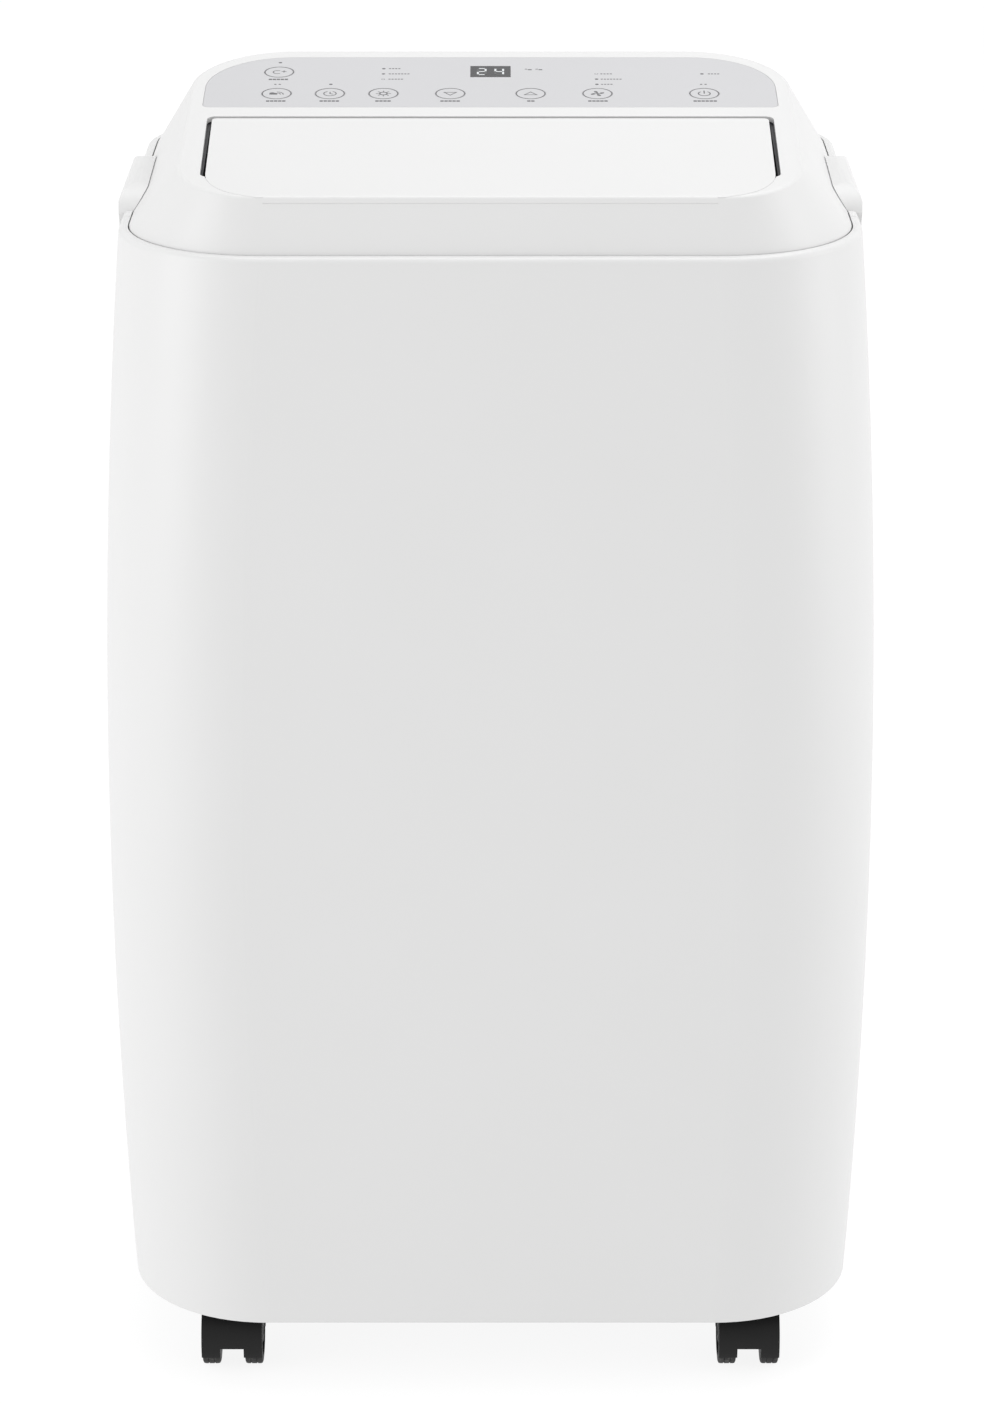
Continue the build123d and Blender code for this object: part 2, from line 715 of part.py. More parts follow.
# exhaust collar: the ring that the hose's end slides into
with BuildPart() as exhaust_collar:
    with BuildSketch(wall_plane(exhaust_duct_rear + lift)):
        with Locations((0, exhaust_height)):
            Circle(exhaust_bore + wall + 0.5)
    extrude(amount=-(rear_limit - exhaust_duct_rear - lift))
    with BuildSketch(wall_plane(rear_face)):
        with Locations((0, exhaust_height)):
            Circle(exhaust_bore + 12)
    extrude(amount=-wall)
    with BuildSketch(wall_plane(exhaust_duct_rear)):
        with Locations((0, exhaust_height)):
            Circle(exhaust_bore)
    extrude(amount=-50, mode=Mode.SUBTRACT)
exhaust_collar.part.label = "exhaust_collar"
export_step(exhaust_collar.part, "parts/exhaust_collar.step")

# ---------------------------------------------------------------- refrigeration

coil_half = 172.0
fin_pitch = 4.0
fin_thick = 0.8
tube_radius = 4.0
bend_radius = 10.0
bend_pitch = 26.0


def finned_coil(front, rear, bottom, top):
    """A finned coil: upright fins on a core, an end plate on each side and U-bends beyond them."""
    middle = (front + rear) / 2
    depth = rear - front
    rows = int((top - bottom - 40) / bend_pitch)
    with BuildPart() as coil:
        with BuildSketch(Plane.XY.offset(bottom)):
            with Locations((0, middle)):
                Rectangle(2 * coil_half, 4)
                with GridLocations(fin_pitch, 1, int(2 * coil_half / fin_pitch), 1):
                    Rectangle(fin_thick, depth)
                with GridLocations(2 * coil_half, 1, 2, 1):
                    Rectangle(4, depth + 4)
        extrude(amount=top - bottom)
        for side in (-1, 1):
            edge = side * (coil_half + 2)
            with BuildSketch(Plane.YZ.offset(edge)):
                with Locations((middle + bend_radius, bottom + 16 + bend_pitch * rows / 2 - 4 * side)):
                    with GridLocations(1, bend_pitch, 1, rows):
                        Circle(tube_radius)
            revolve(axis=Axis((edge, middle, 0), (0, 0, side)), revolution_arc=180)
    return coil.part


coils = {
    "evaporator": finned_coil(108, 152, tray_level + thin, 685),
    "condenser": finned_coil(116, 160, 68, 338),
}
for name, piece in coils.items():
    piece.label = name
    export_step(piece, "parts/" + name + ".step")

# drip tray: catches the evaporator's water and leads it to the upper drain spout
tray_half = 190.0
tray_front = 98.0
tray_rear = 164.0
tray_height = 20.0
with BuildPart() as drip_tray:
    with BuildSketch(Plane.XY.offset(tray_level)):
        with Locations((0, (tray_front + tray_rear) / 2)):
            Rectangle(2 * tray_half + 2 * thin, tray_rear - tray_front)
    extrude(amount=tray_height)
    with BuildSketch(Plane.XY.offset(tray_level + thin)):
        with Locations((0, (tray_front + tray_rear) / 2)):
            Rectangle(2 * tray_half, tray_rear - tray_front - 2 * thin)
    extrude(amount=tray_height, mode=Mode.SUBTRACT)
    with BuildSketch(wall_plane(tray_rear)):
        with Locations(tray_spout):
            Circle(drain_radius)
    extrude(amount=-(drain_end - tray_rear))
    with BuildSketch(wall_plane(tray_rear - 2 * thin)):
        with Locations(tray_spout):
            Circle(drain_bore)
    extrude(amount=-40, mode=Mode.SUBTRACT)
drip_tray.part.label = "drip_tray"
export_step(drip_tray.part, "parts/drip_tray.step")

# partition: a stepped wall between the cold upper and the hot lower compartment
step_y = -34.0
with BuildPart() as partition:
    add(cabinet_fit)
    with BuildSketch(Plane.YZ.offset(-shoulder_height)):
        with BuildLine():
            Polyline((-300, deck_level), (step_y, deck_level), (step_y, rear_deck_level),
                     (300, rear_deck_level), (300, rear_deck_level + wall),
                     (step_y - wall, rear_deck_level + wall), (step_y - wall, deck_level + wall),
                     (-300, deck_level + wall), close=True)
        make_face()
    extrude(amount=2 * shoulder_height, mode=Mode.INTERSECT)
    with BuildSketch(Plane.XY.offset(rear_deck_level - 1)):
        with Locations((0, (tray_front + tray_rear) / 2)):
            Rectangle(4 * caster_x, 60)
            Rectangle(2 * 194, 60, mode=Mode.SUBTRACT)
    extrude(amount=6, mode=Mode.SUBTRACT)
partition.part.label = "partition"
export_step(partition.part, "parts/partition.step")

# compressor: welded can on a three-eared foot, with its accumulator strapped beside it
can_place = (132.0, -45.0)
accumulator_place = (150.0, -135.0)
can_radius = 56.0
can_top = 300.0
foot_circle = 68.0
foot_level = bottom_height + wall + 10.0
accumulator_top = 280.0
with BuildPart() as compressor:
    with BuildSketch(Plane.XY.offset(foot_level + 3)):
        with Locations(can_place):
            Circle(can_radius)
    extrude(amount=can_top - foot_level - 3)
    fillet(compressor.edges().group_by(Axis.Z)[-1], 24)
    with BuildSketch(Plane.XY.offset(accumulator_top - 165)):
        with Locations(accumulator_place):
            Circle(25)
    extrude(amount=165)
    with BuildSketch(Plane.XY.offset(190)):
        with Locations((144, -105)):
            Rectangle(14, 26)
    extrude(amount=30)
    with BuildSketch(Plane.XY.offset(foot_level)):
        with Locations(Location(can_place)):
            Circle(can_radius - 6)
            with PolarLocations(foot_circle / 2, 3, start_angle=90):
                Rectangle(foot_circle, 24)
            with PolarLocations(foot_circle, 3, start_angle=90):
                Circle(12)
                Circle(4.2, mode=Mode.SUBTRACT)
    extrude(amount=3)
compressor.part.label = "compressor"
export_step(compressor.part, "parts/compressor.step")

# compressor mounts: three rubber feet with a nose through the foot's ears
with BuildPart() as compressor_mounts:
    with BuildSketch(Plane.XY.offset(bottom_height + wall)):
        with Locations(Location(can_place)):
            with PolarLocations(foot_circle, 3, start_angle=90):
                Circle(9)
    extrude(amount=10)
    with BuildSketch(Plane.XY.offset(bottom_height + wall)):
        with Locations(Location(can_place)):
            with PolarLocations(foot_circle, 3, start_angle=90):
                Circle(4)
    extrude(amount=14)
compressor_mounts.part.label = "compressor_mounts"
export_step(compressor_mounts.part, "parts/compressor_mounts.step")

# refrigerant pipes: discharge, suction and liquid lines
pipe_routes = [
    (4.0, 14.0, [(132, -45, can_top), (132, -45, 330), (199, -45, 330), (199, 138, 330), (174, 138, 330)]),
    (5.0, 16.0, [(174, 130, 678), (203, 130, 678), (203, 130, 372), (203, -135, 372), (150, -135, 372),
                 (150, -135, accumulator_top)]),
    (3.0, 12.0, [(-174, 138, 332), (-202, 138, 332), (-202, 138, 676), (-174, 138, 676)]),
]
with BuildPart() as refrigerant_pipes:
    for radius, bend, route in pipe_routes:
        with BuildLine() as path:
            FilletPolyline(*route, radius=bend)
        with BuildSketch(Plane(origin=route[0], z_dir=Vector(*route[1]) - Vector(*route[0]))):
            Circle(radius)
        sweep(path=path.wires()[0])
refrigerant_pipes.part.label = "refrigerant_pipes"
export_step(refrigerant_pipes.part, "parts/refrigerant_pipes.step")

# ---------------------------------------------------------------- electrics

box_left, box_right = -178.0, -28.0
box_front, box_rear = -170.0, -95.0
box_low = 262.0
board_back = box_rear - 8.0

# electrical box: a sheet tray, open to the front, that hangs from the partition
with BuildPart() as electrical_box:
    with BuildSketch(Plane.XY.offset(box_low)):
        with Locations(((box_left + box_right) / 2, (box_front + box_rear) / 2)):
            Rectangle(box_right - box_left, box_rear - box_front)
    extrude(amount=deck_level - box_low)
    with BuildSketch(wall_plane(box_front - 1)):
        with Locations(((box_left + box_right) / 2, (box_low + deck_level) / 2)):
            Rectangle(box_right - box_left - 4, deck_level - box_low - 4)
    extrude(amount=-(box_rear - box_front - 1), mode=Mode.SUBTRACT)
    with BuildSketch(wall_plane(board_back)):
        with Locations(((box_left + box_right) / 2, (box_low + deck_level) / 2)):
            with GridLocations(116, 112, 2, 2):
                Circle(3)
    extrude(amount=-7)
electrical_box.part.label = "electrical_box"
export_step(electrical_box.part, "parts/electrical_box.step")

# main board: carrier with transformer, relays, run capacitor and terminal block
with BuildPart() as main_board:
    with BuildSketch(wall_plane(board_back - board_thick)):
        with Locations(((box_left + box_right) / 2, (box_low + deck_level) / 2)):
            Rectangle(130, 126)
    extrude(amount=-board_thick)
    with BuildSketch(wall_plane(board_back - board_thick - 34)):
        with Locations((-143, 305)):
            Rectangle(38, 66)
    extrude(amount=-34.5)
    with BuildSketch(wall_plane(board_back - board_thick - 26)):
        with Locations((-65, 370)):
            Rectangle(40, 34)
    extrude(amount=-26.5)
    with BuildSketch(wall_plane(board_back - board_thick - 16)):
        with Locations((-75, 305)):
            with GridLocations(26, 34, 2, 2):
                Rectangle(18, 26)
    extrude(amount=-16.5)
    with BuildSketch(wall_plane(board_back - board_thick - 14)):
        with Locations((-130, 385)):
            Rectangle(56, 14)
    extrude(amount=-14.5)
main_board.part.label = "main_board"
export_step(main_board.part, "parts/main_board.step")

# ---------------------------------------------------------------- rear fittings

slat_pitch = 9.0
filter_windows = {"upper_filter_grille": upper_intake, "lower_filter_grille": lower_intake}
for name, (low, high) in filter_windows.items():
    slats = int((high - low - 20) / slat_pitch)
    with BuildPart() as grille:
        with BuildSketch(wall_plane(rear_face - 4.7)):
            with Locations((0, (low + high) / 2)):
                Rectangle(2 * intake_half - 2 * seam, high - low - 2 * seam)
                Rectangle(2 * intake_half - 20, high - low - 20, mode=Mode.SUBTRACT)
        extrude(amount=-4.7)
        with BuildSketch(wall_plane(rear_face - 11)):
            with Locations((0, (low + high) / 2)):
                Rectangle(2 * intake_half - 10, high - low - 10)
                Rectangle(2 * intake_half - 20, high - low - 20, mode=Mode.SUBTRACT)
                with GridLocations((intake_half - 10) * 2 / 4, 1, 3, 1):
                    Rectangle(3, high - low - 12)
        extrude(amount=-6.5)
        with BuildSketch(Plane.YZ.offset(-intake_half + 8)):
            with Locations((rear_face - 4, (low + high) / 2)):
                with GridLocations(1, slat_pitch, 1, slats):
                    Rectangle(7.5, 2, rotation=-32)
        extrude(amount=2 * intake_half - 16)
    grille.part.label = name
    export_step(grille.part, "parts/" + name + ".step")

# drain plugs: soft stoppers whose heads are no wider than the spouts
for name, place in {"upper_drain_plug": tray_spout, "lower_drain_plug": (drain_x, drain_height)}.items():
    with BuildPart() as plug:
        with BuildSketch(wall_plane(drain_end - 12)):
            with Locations(place):
                Circle(drain_bore - running)
        extrude(amount=-13)
        with BuildSketch(wall_plane(drain_end + 0.1)):
            with Locations(place):
                Circle(drain_radius - 0.4)
        extrude(amount=-(rear_limit - drain_end - 0.1))
    plug.part.label = name
    export_step(plug.part, "parts/" + name + ".step")

# cord inlet: a rubber gland with nothing in it
with BuildPart() as cord_inlet:
    with BuildSketch(wall_plane(rear_face - 7)):
        with Locations(cord_place):
            Circle(cord_gland - 0.05)
    extrude(amount=-7.5)
    with BuildSketch(wall_plane(rear_face)):
        with Locations(cord_place):
            Circle(cord_gland + 3)
    extrude(amount=-wall)
    with BuildSketch(wall_plane(rear_face)):
        with Locations(cord_place):
            Circle(6.5)
    extrude(amount=-9)
    with BuildSketch(wall_plane(rear_face - 10)):
        with Locations(cord_place):
            Circle(4)
    extrude(amount=-30, mode=Mode.SUBTRACT)
cord_inlet.part.label = "cord_inlet"
export_step(cord_inlet.part, "parts/cord_inlet.step")

# cord hooks: two brackets, one opening upwards and one downwards
hook_x = 125.0
hook_half = 9.0
with BuildPart() as cord_hooks:
    for height, way in ((478.0, 1), (400.0, -1)):
        with BuildSketch(Plane.YZ.offset(hook_x - hook_half)):
            with BuildLine():
                Polyline((rear_face, height - 12 * way), (rear_face + wall, height - 12 * way),
                         (rear_face + wall, height - 2 * way), (rear_limit, height - 2 * way),
                         (rear_limit, height + 14 * way), (rear_limit - wall, height + 14 * way),
                         (rear_limit - wall, height + 2 * way), (rear_face + wall, height + 2 * way),
                         (rear_face + wall, height + 12 * way), (rear_face, height + 12 * way), close=True)
            make_face()
        extrude(amount=2 * hook_half)
cord_hooks.part.label = "cord_hooks"
export_step(cord_hooks.part, "parts/cord_hooks.step")

# cabinet screws: pan heads on the rear wall, shanks into the pan and the top cover's skirt
with BuildPart() as cabinet_screws:
    with BuildSketch(wall_plane(rear_face - 13)):
        with Locations(*lower_screws, *upper_screws):
            Circle(screw_radius)
    extrude(amount=-13)
    with BuildSketch(wall_plane(rear_face)):
        with Locations(*lower_screws, *upper_screws):
            Circle(2 * screw_radius)
    extrude(amount=-1.8)
    with BuildSketch(wall_plane(rear_face + 1)):
        with Locations(*lower_screws, *upper_screws):
            Rectangle(5, 0.9)
            Rectangle(0.9, 5)
    extrude(amount=-5, mode=Mode.SUBTRACT)
cabinet_screws.part.label = "cabinet_screws"
export_step(cabinet_screws.part, "parts/cabinet_screws.step")

# ---------------------------------------------------------------- side handles

handle_section = [          # from its foot, round the finger pocket and up inside the lip
    (216.6, handle_foot + seam), (181, 645), (178.5, 649), (178.5, 698), (182, 702), (195, 702),
    (195, handle_crest - 1.5), (204.6, handle_crest),
]
pocket_section = [
    (230, 645), (184, 648), (181.5, 651), (181.5, 696), (184, 699), (209, 699),
    (210.4, 692), (213.5, 690.5), (230, 690.5),
]
with BuildPart() as side_handle_right:
    with BuildSketch(wall_plane(handle_front + seam)):
        with BuildLine():
            Polyline(*handle_section)
            ThreePointArc(handle_section[-1], (211.8, 715.2), (215.2, 709))
            Polyline((215.2, 709), (214.6, 698), handle_section[0])
        make_face()
    extrude(amount=-(handle_rear - handle_front - 2 * seam))
    with BuildSketch(wall_plane(handle_front + seam + wall)):
        with BuildLine():
            Polyline(*pocket_section, close=True)
        make_face()
    extrude(amount=-112, mode=Mode.SUBTRACT)
    with BuildSketch(Plane.YZ.offset(150)):
        with BuildLine():
            Polyline((-10, handle_crest), (-45, handle_crest))
            ThreePointArc((-45, handle_crest), (-62, 712.5), (handle_front, 703))
            Polyline((handle_front, 703), (handle_front, handle_foot), (handle_rear, handle_foot),
                     (handle_rear, 704))
            ThreePointArc((handle_rear, 704), (38, 712.5), (-10, handle_crest))
        make_face()
    extrude(amount=100, mode=Mode.INTERSECT)
    add(crown_clear, mode=Mode.SUBTRACT)
side_handle_right.part.label = "side_handle_right"
export_step(side_handle_right.part, "parts/side_handle_right.step")

with BuildPart() as side_handle_left:
    add(mirror(side_handle_right.part, about=Plane.YZ, mode=Mode.PRIVATE))
side_handle_left.part.label = "side_handle_left"
export_step(side_handle_left.part, "parts/side_handle_left.step")

# ---------------------------------------------------------------- casters

hood_radius = 22.5
axle_radius = 3.0
hood_edge = 12.5            # lower edge of the hood over each wheel
fork_edge = 19.0            # lower edge of the fork between the wheels
boss_radius = 7.0           # round the axle, below the fork's edge
half_gap = wheel_gap / 2

for name, (x, y) in caster_places.items():
    axle_y = y - caster_trail
    with BuildPart() as housing:
        with BuildSketch(Plane.YZ.offset(x - half_gap - wheel_width)):
            with Locations((axle_y, wheel_radius)):
                Circle(hood_radius)
            with Locations(((axle_y + y) / 2 + 3, 36)):
                Rectangle(caster_trail + 14, 20.4)
        extrude(amount=wheel_gap + 2 * wheel_width)
        with BuildSketch(Plane.YZ.offset(x - half_gap - wheel_width - 1)):
            with Locations((axle_y, wheel_radius)):
                Circle(wheel_radius + 0.6)
            with Locations((axle_y, 0)):
                Rectangle(4 * wheel_radius, 2 * hood_edge)
        extrude(amount=wheel_width + 1 + lift, mode=Mode.SUBTRACT)
        with BuildSketch(Plane.YZ.offset(x + half_gap - lift)):
            with Locations((axle_y, wheel_radius)):
                Circle(wheel_radius + 0.6)
            with Locations((axle_y, 0)):
                Rectangle(4 * wheel_radius, 2 * hood_edge)
        extrude(amount=wheel_width + 2, mode=Mode.SUBTRACT)
        with BuildSketch(Plane.YZ.offset(x - half_gap + lift)):
            with Locations((axle_y, 0)):
                Rectangle(4 * wheel_radius, 2 * fork_edge)
            with Locations((axle_y, wheel_radius)):
                Circle(boss_radius, mode=Mode.SUBTRACT)
        extrude(amount=wheel_gap - 2 * lift, mode=Mode.SUBTRACT)
        with BuildSketch(Plane.YZ.offset(x - 30)):
            with Locations((axle_y, wheel_radius)):
                Circle(axle_radius + running)
        extrude(amount=60, mode=Mode.SUBTRACT)
        with BuildSketch(Plane.XY.offset(40)):
            with Locations((x, y)):
                Circle(stem_radius)
        extrude(amount=bottom_height + socket_depth - 1 - 40)
    housing.part.label = "caster_housing_" + name
    export_step(housing.part, "parts/caster_housing_" + name + ".step")

    with BuildPart() as wheels:
        for start in (x - half_gap - wheel_width, x + half_gap):
            with BuildSketch(Plane.YZ.offset(start)):
                with Locations((axle_y, wheel_radius)):
                    Circle(wheel_radius)
            extrude(amount=wheel_width)
        chamfer(wheels.edges().filter_by(GeomType.CIRCLE), 1.2)
        with BuildSketch(Plane.YZ.offset(x - half_gap - wheel_width)):
            with Locations((axle_y, wheel_radius)):
                Circle(axle_radius)
        extrude(amount=wheel_gap + 2 * wheel_width)
    wheels.part.label = "caster_wheels_" + name
    export_step(wheels.part, "parts/caster_wheels_" + name + ".step")
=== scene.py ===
"""Looks of a floor-standing portable air conditioner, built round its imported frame.

Every length is in metres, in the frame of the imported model: +Z up, the front facing -Y.
"""

import json
import logging
import math
from dataclasses import dataclass, field
from enum import Enum

import bmesh
import bpy
from mathutils import Matrix, Vector


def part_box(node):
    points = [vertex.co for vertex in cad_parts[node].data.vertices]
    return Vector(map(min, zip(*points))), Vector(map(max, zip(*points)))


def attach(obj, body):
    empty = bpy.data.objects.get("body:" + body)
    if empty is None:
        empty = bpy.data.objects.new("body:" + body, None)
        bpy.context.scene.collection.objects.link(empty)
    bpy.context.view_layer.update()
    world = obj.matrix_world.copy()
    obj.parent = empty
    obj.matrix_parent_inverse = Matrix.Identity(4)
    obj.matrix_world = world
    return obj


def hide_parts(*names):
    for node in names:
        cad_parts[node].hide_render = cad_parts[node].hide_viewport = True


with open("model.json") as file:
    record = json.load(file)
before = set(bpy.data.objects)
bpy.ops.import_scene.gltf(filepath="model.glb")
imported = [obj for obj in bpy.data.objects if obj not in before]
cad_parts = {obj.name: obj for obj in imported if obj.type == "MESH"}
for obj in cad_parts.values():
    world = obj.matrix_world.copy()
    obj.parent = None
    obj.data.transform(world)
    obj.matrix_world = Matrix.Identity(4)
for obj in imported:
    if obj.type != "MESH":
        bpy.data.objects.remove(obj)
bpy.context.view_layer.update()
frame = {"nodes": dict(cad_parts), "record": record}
log = logging.getLogger("air_conditioner")

MM = 0.001
Colour = tuple[float, float, float]
Place = tuple[float, float]
Point = tuple[float, float, float]


# ---------------------------------------------------------------- finishes


class Grain(Enum):
    """How a surface's fine relief runs."""

    PEEL = "peel"
    SPARK = "spark"
    BRUSHED = "brushed"
    SMOOTH = "smooth"


@dataclass(frozen=True)
class Finish:
    """One procedural finish.

    Attributes:
        name: Name of the material.
        colour: Base colour, linear.
        tint: Second colour, which drifts over the first in broad soft patches.
        roughness: Middle of the roughness range.
        spread: How far roughness wanders either side of the middle.
        metallic: 0 for plastics and paint, 1 for bare metal.
        grain: The kind of fine relief.
        pitch: Size of one grain of the relief.
        relief: Height of the relief.
        coat: Weight of a clear top coat.
        specular: Specular level of the bare surface.
        glow: Strength of the finish's own light.
        wear: How much small scattered patches lighten from rubbing.
    """

    name: str
    colour: Colour
    tint: Colour
    roughness: float = 0.4
    spread: float = 0.05
    metallic: float = 0.0
    grain: Grain = Grain.PEEL
    pitch: float = 0.6 * MM
    relief: float = 0.01 * MM
    coat: float = 0.0
    specular: float = 0.5
    glow: float = 0.0
    wear: float = 0.0

    def material(self) -> bpy.types.Material:
        """Make the material, or return it if it's there already.

        Returns:
            The node-based material.
        """
        known = bpy.data.materials.get(self.name)
        if known:
            return known
        made = bpy.data.materials.new(self.name)
        made.use_nodes = True
        tree = made.node_tree
        shader = tree.nodes["Principled BSDF"]
        shader.inputs["Metallic"].default_value = self.metallic
        shader.inputs["Coat Weight"].default_value = self.coat
        shader.inputs["Specular IOR Level"].default_value = self.specular
        shader.inputs["Coat Roughness"].default_value = 0.08
        if self.glow:
            shader.inputs["Emission Color"].default_value = (*self.colour, 1)
            shader.inputs["Emission Strength"].default_value = self.glow
        place = tree.nodes.new("ShaderNodeTexCoord").outputs["Object"]
        if self.grain is Grain.BRUSHED:
            stretch = tree.nodes.new("ShaderNodeMapping")
            stretch.inputs["Scale"].default_value = (0.04, 1, 1)
            tree.links.new(place, stretch.inputs["Vector"])
            fine_place = stretch.outputs["Vector"]
        else:
            fine_place = place
        self._colour(tree, shader, place)
        self._roughness(tree, shader, place)
        if self.grain is not Grain.SMOOTH:
            self._relief(tree, shader, fine_place)
        return made

    def _noise(self, tree: bpy.types.NodeTree, place: bpy.types.NodeSocket, size: float,
               detail: float) -> bpy.types.NodeSocket:
        """Add a noise pattern.

        Args:
            tree: Node tree of the material.
            place: Coordinates that the pattern reads.
            size: Size of one patch.
            detail: Number of finer layers.

        Returns:
            The socket with the pattern's value.
        """
        noise = tree.nodes.new("ShaderNodeTexNoise")
        noise.inputs["Scale"].default_value = 1 / size
        noise.inputs["Detail"].default_value = detail
        tree.links.new(place, noise.inputs["Vector"])
        return noise.outputs["Fac"]

    def _colour(self, tree: bpy.types.NodeTree, shader: bpy.types.Node,
                place: bpy.types.NodeSocket) -> None:
        """Drift the colour in soft patches, and lighten small scattered patches as scuffs.

        Args:
            tree: Node tree of the material.
            shader: Its principled shader.
            place: Object coordinates.
        """
        patches = self._noise(tree, place, 90 * MM, 3)
        mix = tree.nodes.new("ShaderNodeMix")
        mix.data_type = "RGBA"
        mix.inputs["A"].default_value = (*self.colour, 1)
        mix.inputs["B"].default_value = (*self.tint, 1)
        tree.links.new(patches, mix.inputs["Factor"])
        colour = mix.outputs["Result"]
        if self.wear:
            colour = self._worn(tree, place, colour)
        tree.links.new(colour, shader.inputs["Base Color"])

    def _worn(self, tree: bpy.types.NodeTree, place: bpy.types.NodeSocket,
              colour: bpy.types.NodeSocket) -> bpy.types.NodeSocket:
        """Add scuffs: small broken patches a shade lighter than the colour.

        Args:
            tree: Node tree of the material.
            place: Object coordinates.
            colour: Socket with the unworn colour.

        Returns:
            The socket with the worn colour.
        """
        ramp = tree.nodes.new("ShaderNodeMapRange")
        ramp.inputs["From Min"].default_value = 0.56
        ramp.inputs["From Max"].default_value = 0.70
        ramp.inputs["To Max"].default_value = self.wear
        tree.links.new(self._noise(tree, place, 5 * MM, 8), ramp.inputs["Value"])
        mix = tree.nodes.new("ShaderNodeMix")
        mix.data_type = "RGBA"
        mix.inputs["B"].default_value = (0.35, 0.34, 0.33, 1)
        tree.links.new(ramp.outputs["Result"], mix.inputs["Factor"])
        tree.links.new(colour, mix.inputs["A"])
        return mix.outputs["Result"]

    def _roughness(self, tree: bpy.types.NodeTree, shader: bpy.types.Node,
                   place: bpy.types.NodeSocket) -> None:
        """Let roughness wander, as on a handled surface.

        Args:
            tree: Node tree of the material.
            shader: Its principled shader.
            place: Object coordinates.
        """
        reach = tree.nodes.new("ShaderNodeMapRange")
        reach.inputs["To Min"].default_value = max(0.02, self.roughness - self.spread)
        reach.inputs["To Max"].default_value = min(1.0, self.roughness + self.spread)
        tree.links.new(self._noise(tree, place, 22 * MM, 5), reach.inputs["Value"])
        tree.links.new(reach.outputs["Result"], shader.inputs["Roughness"])

    def _relief(self, tree: bpy.types.NodeTree, shader: bpy.types.Node,
                place: bpy.types.NodeSocket) -> None:
        """Add the fine relief as a bump.

        Args:
            tree: Node tree of the material.
            shader: Its principled shader.
            place: Coordinates that the relief reads.
        """
        bump = tree.nodes.new("ShaderNodeBump")
        bump.inputs["Strength"].default_value = 1.0
        bump.inputs["Distance"].default_value = self.relief
        if self.grain is Grain.SPARK:
            cells = tree.nodes.new("ShaderNodeTexVoronoi")
            cells.inputs["Scale"].default_value = 1 / self.pitch
            tree.links.new(place, cells.inputs["Vector"])
            height = cells.outputs["Distance"]
        else:
            height = self._noise(tree, place, self.pitch, 2)
        tree.links.new(height, bump.inputs["Height"])
        tree.links.new(bump.outputs["Normal"], shader.inputs["Normal"])


WHITE = Finish("white_plastic", (0.685, 0.685, 0.685), (0.672, 0.672, 0.67), 0.38, 0.04, pitch=0.9 * MM,
               relief=0.004 * MM)
PANEL = Finish("panel_film", (0.535, 0.535, 0.548), (0.52, 0.52, 0.533), 0.34, 0.04, grain=Grain.SPARK,
               pitch=0.35 * MM, relief=0.004 * MM)
PRINT = Finish("panel_ink", (0.11, 0.11, 0.115), (0.10, 0.10, 0.105), 0.5, 0.05, grain=Grain.SMOOTH)
SMOKE = Finish("smoked_window", (0.035, 0.035, 0.04), (0.03, 0.03, 0.035), 0.10, 0.03, grain=Grain.SMOOTH,
               coat=0.6)
DIGIT = Finish("digit_segment", (0.55, 0.57, 0.58), (0.52, 0.54, 0.55), 0.4, 0.05, grain=Grain.SMOOTH,
               glow=0.25)
GHOST = Finish("dark_segment", (0.075, 0.078, 0.08), (0.07, 0.073, 0.075), 0.4, 0.05, grain=Grain.SMOOTH)
LABEL = Finish("plate_film", (0.66, 0.66, 0.65), (0.62, 0.62, 0.61), 0.3, 0.05, 0.0, Grain.SMOOTH)
LAMP = Finish("lamp_lens", (0.10, 0.10, 0.11), (0.09, 0.09, 0.10), 0.2, 0.05, grain=Grain.SMOOTH, coat=0.4)
BOARD = Finish("board_laminate", (0.03, 0.16, 0.07), (0.02, 0.12, 0.05), 0.35, 0.1, pitch=0.4 * MM)
DUCT = Finish("duct_plastic", (0.055, 0.055, 0.06), (0.045, 0.045, 0.05), 0.6, 0.1, grain=Grain.SPARK,
              pitch=0.7 * MM, relief=0.02 * MM)
VANE = Finish("vane_plastic", (0.10, 0.10, 0.105), (0.085, 0.085, 0.09), 0.5, 0.08)
FAN = Finish("fan_plastic", (0.03, 0.03, 0.034), (0.024, 0.024, 0.028), 0.45, 0.08)
MOTOR = Finish("motor_can", (0.50, 0.51, 0.52), (0.42, 0.43, 0.44), 0.38, 0.1, 1.0, Grain.BRUSHED)
FINS = Finish("coil_fins", (0.78, 0.79, 0.80), (0.70, 0.71, 0.73), 0.32, 0.1, 1.0, Grain.BRUSHED)
SHEET = Finish("galvanised_sheet", (0.58, 0.60, 0.62), (0.42, 0.44, 0.46), 0.42, 0.15, 1.0, Grain.SPARK,
               pitch=6 * MM, relief=0.01 * MM)
PAN = Finish("pan_plastic", (0.07, 0.07, 0.075), (0.055, 0.055, 0.06), 0.6, 0.1, grain=Grain.SPARK)
CAN = Finish("compressor_paint", (0.02, 0.02, 0.02), (0.03, 0.03, 0.03), 0.35, 0.1, relief=0.03 * MM)
COPPER = Finish("copper_pipe", (0.72, 0.36, 0.22), (0.55, 0.27, 0.17), 0.3, 0.12, 1.0, Grain.BRUSHED)
RUBBER = Finish("black_rubber", (0.025, 0.025, 0.025), (0.035, 0.035, 0.035), 0.75, 0.08, relief=0.03 * MM)
SCREW = Finish("zinc_screw", (0.62, 0.62, 0.60), (0.50, 0.50, 0.47), 0.3, 0.1, 1.0, Grain.BRUSHED)
NYLON = Finish("caster_nylon", (0.009, 0.009, 0.009), (0.013, 0.013, 0.013), 0.5, 0.08, grain=Grain.SPARK,
               pitch=0.5 * MM, relief=0.012 * MM, specular=0.2)
